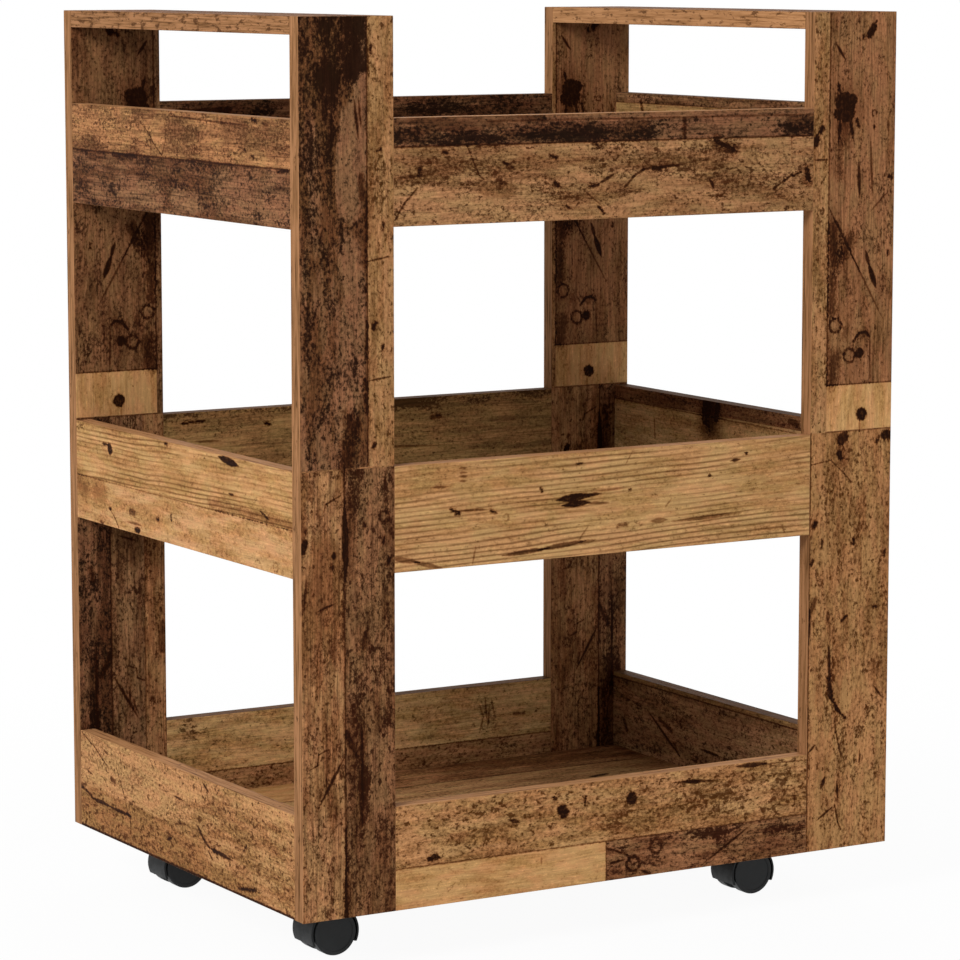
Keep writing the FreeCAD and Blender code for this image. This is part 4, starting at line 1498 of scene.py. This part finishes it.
def screw_repeater() -> Repeater:
    """Pan-head screws with a cross recess, head down, each turned at random."""
    made = Repeater("PanScrews", PanScrew())
    b, g = made.bench, made.given
    head, top = made.standing(g["head_radius"], g["rim_height"])
    for rise, share in PanScrew.CROWN_STEPS:
        head, top = made.stepped(head, top, b.math("MULTIPLY", g["crown_height"], rise), share)
    height = b.math("ADD", g["rim_height"], g["crown_height"])
    head = made.cut(head, *made.cross(height))
    half = b.math("MULTIPLY", g["shank_length"], -0.5)
    shank = made.moved(made.rod(g["shank_radius"], g["shank_length"])["Mesh"], half)
    feeds = {"Vertices": made.SIDES, "Radius Top": 0.0, "Radius Bottom": g["shank_radius"]}
    cone = b.node("GeometryNodeMeshCone", feeds | {"Depth": g["point_length"]}, fill_type="NGON").outputs[0]
    point = made.moved(cone, b.math("MULTIPLY", g["shank_length"], -1.0), turn=made.HEAD_DOWN)
    joined = b.node("GeometryNodeJoinGeometry")
    for part in (head, shank, point):
        b.feed(joined.inputs[0], part)
    random = b.node("FunctionNodeRandomValue", {"Seed": g["Seed"]}, data_type="FLOAT")
    turn = b.math("MULTIPLY", random.outputs[1], math.pi / 2)
    made.finish(made.moved(joined.outputs[0], height, turn=made.HEAD_DOWN), turn)
    return made


def cam_repeater() -> Repeater:
    """Cam locks, face down, with a dished face, a cross recess and the bolt's tunnel towards the joint."""
    made = Repeater("CamLocks", CamLock())
    b, g = made.bench, made.given
    cam, top = made.standing(g["radius"], g["depth"])
    share = b.math("DIVIDE", b.math("SUBTRACT", g["radius"], g["rim"]), g["radius"])
    cam, top = made.stepped(cam, top, 0.0, share)
    cam, _ = made.stepped(cam, top, b.math("MULTIPLY", g["dish"], -1.0), CamLock.DISH_FLOOR)
    out = b.math("MULTIPLY_ADD", g["tunnel_length"], 0.5, b.math("MULTIPLY", g["tunnel_back"], -1.0))
    level = b.math("SUBTRACT", g["depth"], g["bolt_level"])
    tunnel = made.rod(g["tunnel_radius"], g["tunnel_length"])["Mesh"]
    tunnel = made.moved(tunnel, level, out, made.LYING)
    cam = made.cut(cam, tunnel, *made.cross(b.math("SUBTRACT", g["depth"], g["dish"])))
    turn = b.node("GeometryNodeInputNamedAttribute", {"Name": "turn"}, data_type="FLOAT").outputs[0]
    made.finish(made.moved(cam, g["depth"], turn=made.HEAD_DOWN), turn)
    return made


@dataclass(frozen=True)
class Fasteners:
    """The screws in the caster plates and the cam locks under the shelves and handles, with their places."""

    screw_pitch: float = 0.028
    cam_setback: float = 0.024  # from the board's edge
    cam_inset: float = 0.070  # from a rail's end

    def build(self, zinc: Material) -> None:
        """Builds all of them in zinc."""
        cams = cam_repeater()
        self._lay(screw_repeater(), "caster_screw_set", "caster_screws", self._screws(), zinc)
        self._lay(cams, "shelf_cam_set", "shelf_cam_locks", self._shelf_cams(), zinc)
        self._lay(cams, "handle_cam_set", "handle_cam_locks", self._handle_cams(), zinc)

    @staticmethod
    def _lay(tree: Repeater, name: str, node: str, spots: list[tuple], zinc: Material) -> None:
        """Lays one set of fasteners in the place of its node."""
        piece = tree.lay(name, spots, zinc)
        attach(piece, "frame")
        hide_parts(node)
        LOG.info("%s: %d pieces, %d faces", name, len(spots), len(piece.data.polygons))

    def _screws(self) -> list[tuple]:
        """The lowest points of the screws, four under each plate."""
        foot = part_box("caster_screws")[0][2]
        spots = []
        for end, side in product(("front", "rear"), ("left", "right")):
            low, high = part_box(f"{end}_{side}_caster_plate")
            for a, b in product((-0.5, 0.5), repeat=2):
                x = (low[0] + high[0]) / 2 + a * self.screw_pitch
                y = (low[1] + high[1]) / 2 + b * self.screw_pitch
                spots.append(((x, y, foot), 0.0))
        return spots

    def _shelf_cams(self) -> list[tuple]:
        """The cams along each shelf's edges, each turned to its rail."""
        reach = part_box("front_right_post")[0][0] - self.cam_inset
        spots = []
        for tier, s in product(("bottom", "middle", "top"), (-1, 1)):
            low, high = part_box(f"{tier}_shelf")
            across = s * (high[1] - self.cam_setback)
            spots += [((x, across, low[2]), s * math.pi / 2) for x in (-reach, reach)]
            spots.append(((s * (high[0] - self.cam_setback), 0.0, low[2]), (1 - s) * math.pi / 2))
        return spots

    def _handle_cams(self) -> list[tuple]:
        """The cams at both ends of each handle, each turned to its post."""
        spots = []
        for side, s in product(("left", "right"), (-1, 1)):
            low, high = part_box(f"{side}_handle")
            middle = (low[0] + high[0]) / 2
            spots.append(((middle, s * (high[1] - self.cam_setback), low[2]), s * math.pi / 2))
        return spots


# Studio


@dataclass(frozen=True)
class Lamp:
    """A large round soft light, which glossy faces may mirror."""

    name: str
    place: tuple
    size: float
    power: float
    mirrored: bool = True

    def build(self, aim: tuple) -> None:
        """Hangs the light in its place, aimed at a point."""
        data = bpy.data.lights.new(self.name, "AREA")
        data.shape = "DISK"
        data.size = self.size
        data.energy = self.power
        light = bpy.data.objects.new(self.name, data)
        light.location = self.place
        toward = Vector(aim) - Vector(self.place)
        light.rotation_euler = toward.to_track_quat("-Z", "Y").to_euler()
        light.visible_glossy = self.mirrored
        bpy.context.scene.collection.objects.link(light)


@dataclass(frozen=True)
class Studio:
    """The camera, the lights and the pale floor."""

    camera_place: tuple = (-1.7798, -3.0009, 0.8446)
    camera_yaw: float = 0.5365
    camera_tilt: float = 0.1334
    lens: float = 145.17
    aim: tuple = (0.0, 0.0, 0.4)  # the cart's middle
    lamps: tuple[Lamp, ...] = (
        Lamp("key_light", (-3.6, -1.65, 2.6), 1.6, 150.0),
        Lamp("fill_light", (0.6, -4.4, 0.9), 2.4, 22.0),
        Lamp("back_light", (2.4, 3.4, 2.0), 2.4, 70.0, mirrored=False),
    )
    ambient: float = 0.5
    floor_half: float = 8.0
    floor_colour: str = "e6e6e6"
    floor_roughness: float = 0.9
    floor_near: float = 0.95  # share of plain white in the floor under the cart
    floor_fade: tuple = (0.3, 1.3)  # metres over which the floor turns all white
    floor_glow: float = 0.25  # share of plain white that the floor sheds on the cart

    def build(self) -> None:
        """Sets up the whole studio."""
        bpy.context.scene.view_settings.view_transform = "Standard"
        self._camera()
        for lamp in self.lamps:
            lamp.build(self.aim)
        self._world()
        self._floor()
        LOG.info("studio: camera, %d lights, world and floor", len(self.lamps))

    def _camera(self) -> None:
        """The camera at the photographed angle."""
        data = bpy.data.cameras.new("camera")
        data.lens = self.lens
        camera = bpy.data.objects.new("camera", data)
        camera.location = self.camera_place
        camera.rotation_euler = (math.pi / 2 - self.camera_tilt, 0.0, -self.camera_yaw)
        bpy.context.scene.collection.objects.link(camera)
        bpy.context.scene.camera = camera

    @staticmethod
    def _showing_rays(bench: Bench) -> Socket:
        """The mask of the rays that show the studio: the camera's own, and those in gloss and glass."""
        path = bench.node("ShaderNodeLightPath").outputs
        shown = bench.math("MAXIMUM", path["Is Camera Ray"], path["Is Glossy Ray"])
        return bench.math("MAXIMUM", shown, path["Is Transmission Ray"])

    def _world(self) -> None:
        """A white background, and an even fill for everything else."""
        world = bpy.data.worlds.new("studio_world")
        world.use_nodes = True
        bpy.context.scene.world = world
        bench = Bench(world.node_tree)
        background = bench.tree.nodes["Background"].inputs
        background["Color"].default_value = WHITE
        strength = bench.ramp(self._showing_rays(bench), 0.0, 1.0, self.ambient, 1.0)
        bench.feed(background["Strength"], strength)

    def _floor(self) -> None:
        """The pale floor, near white to the camera, which keeps the cart's shadow."""
        half = self.floor_half
        mesh = bpy.data.meshes.new("floor")
        corners = [(-half, -half, 0.0), (half, -half, 0.0), (half, half, 0.0), (-half, half, 0.0)]
        mesh.from_pydata(corners, [], [(0, 1, 2, 3)])
        floor = bpy.data.objects.new("floor", mesh)
        bpy.context.scene.collection.objects.link(floor)
        bench = SurfaceBench("pale_floor")
        bench.dress({"Base Color": screen_colour(self.floor_colour), "Roughness": self.floor_roughness})
        white = bench.node("ShaderNodeEmission", {"Color": WHITE, "Strength": 1.0})
        place = bench.node("ShaderNodeTexCoord").outputs["Object"]
        away = bench.vector("LENGTH", place, result="Value")
        share = bench.ramp(away, *self.floor_fade, self.floor_near, 1.0)
        share = bench.ramp(self._showing_rays(bench), 0.0, 1.0, self.floor_glow, share)
        feeds = {0: share, 1: bench.shader.outputs[0], 2: white.outputs[0]}
        mixed = bench.node("ShaderNodeMixShader", feeds).outputs[0]
        bench.feed(bench.tree.nodes["Material Output"].inputs["Surface"], mixed)
        mesh.materials.append(bench.material)


def main() -> None:
    """Dresses the cart and sets up its studio."""
    logging.basicConfig(level=logging.INFO, format="%(name)s: %(message)s")
    CartFrame().dress(WoodGroups(OldWood()))
    finishes = Hardware().dress()
    Fasteners().build(finishes["zinc_fasteners"])
    Studio().build()


if __name__ == "__main__":
    main()
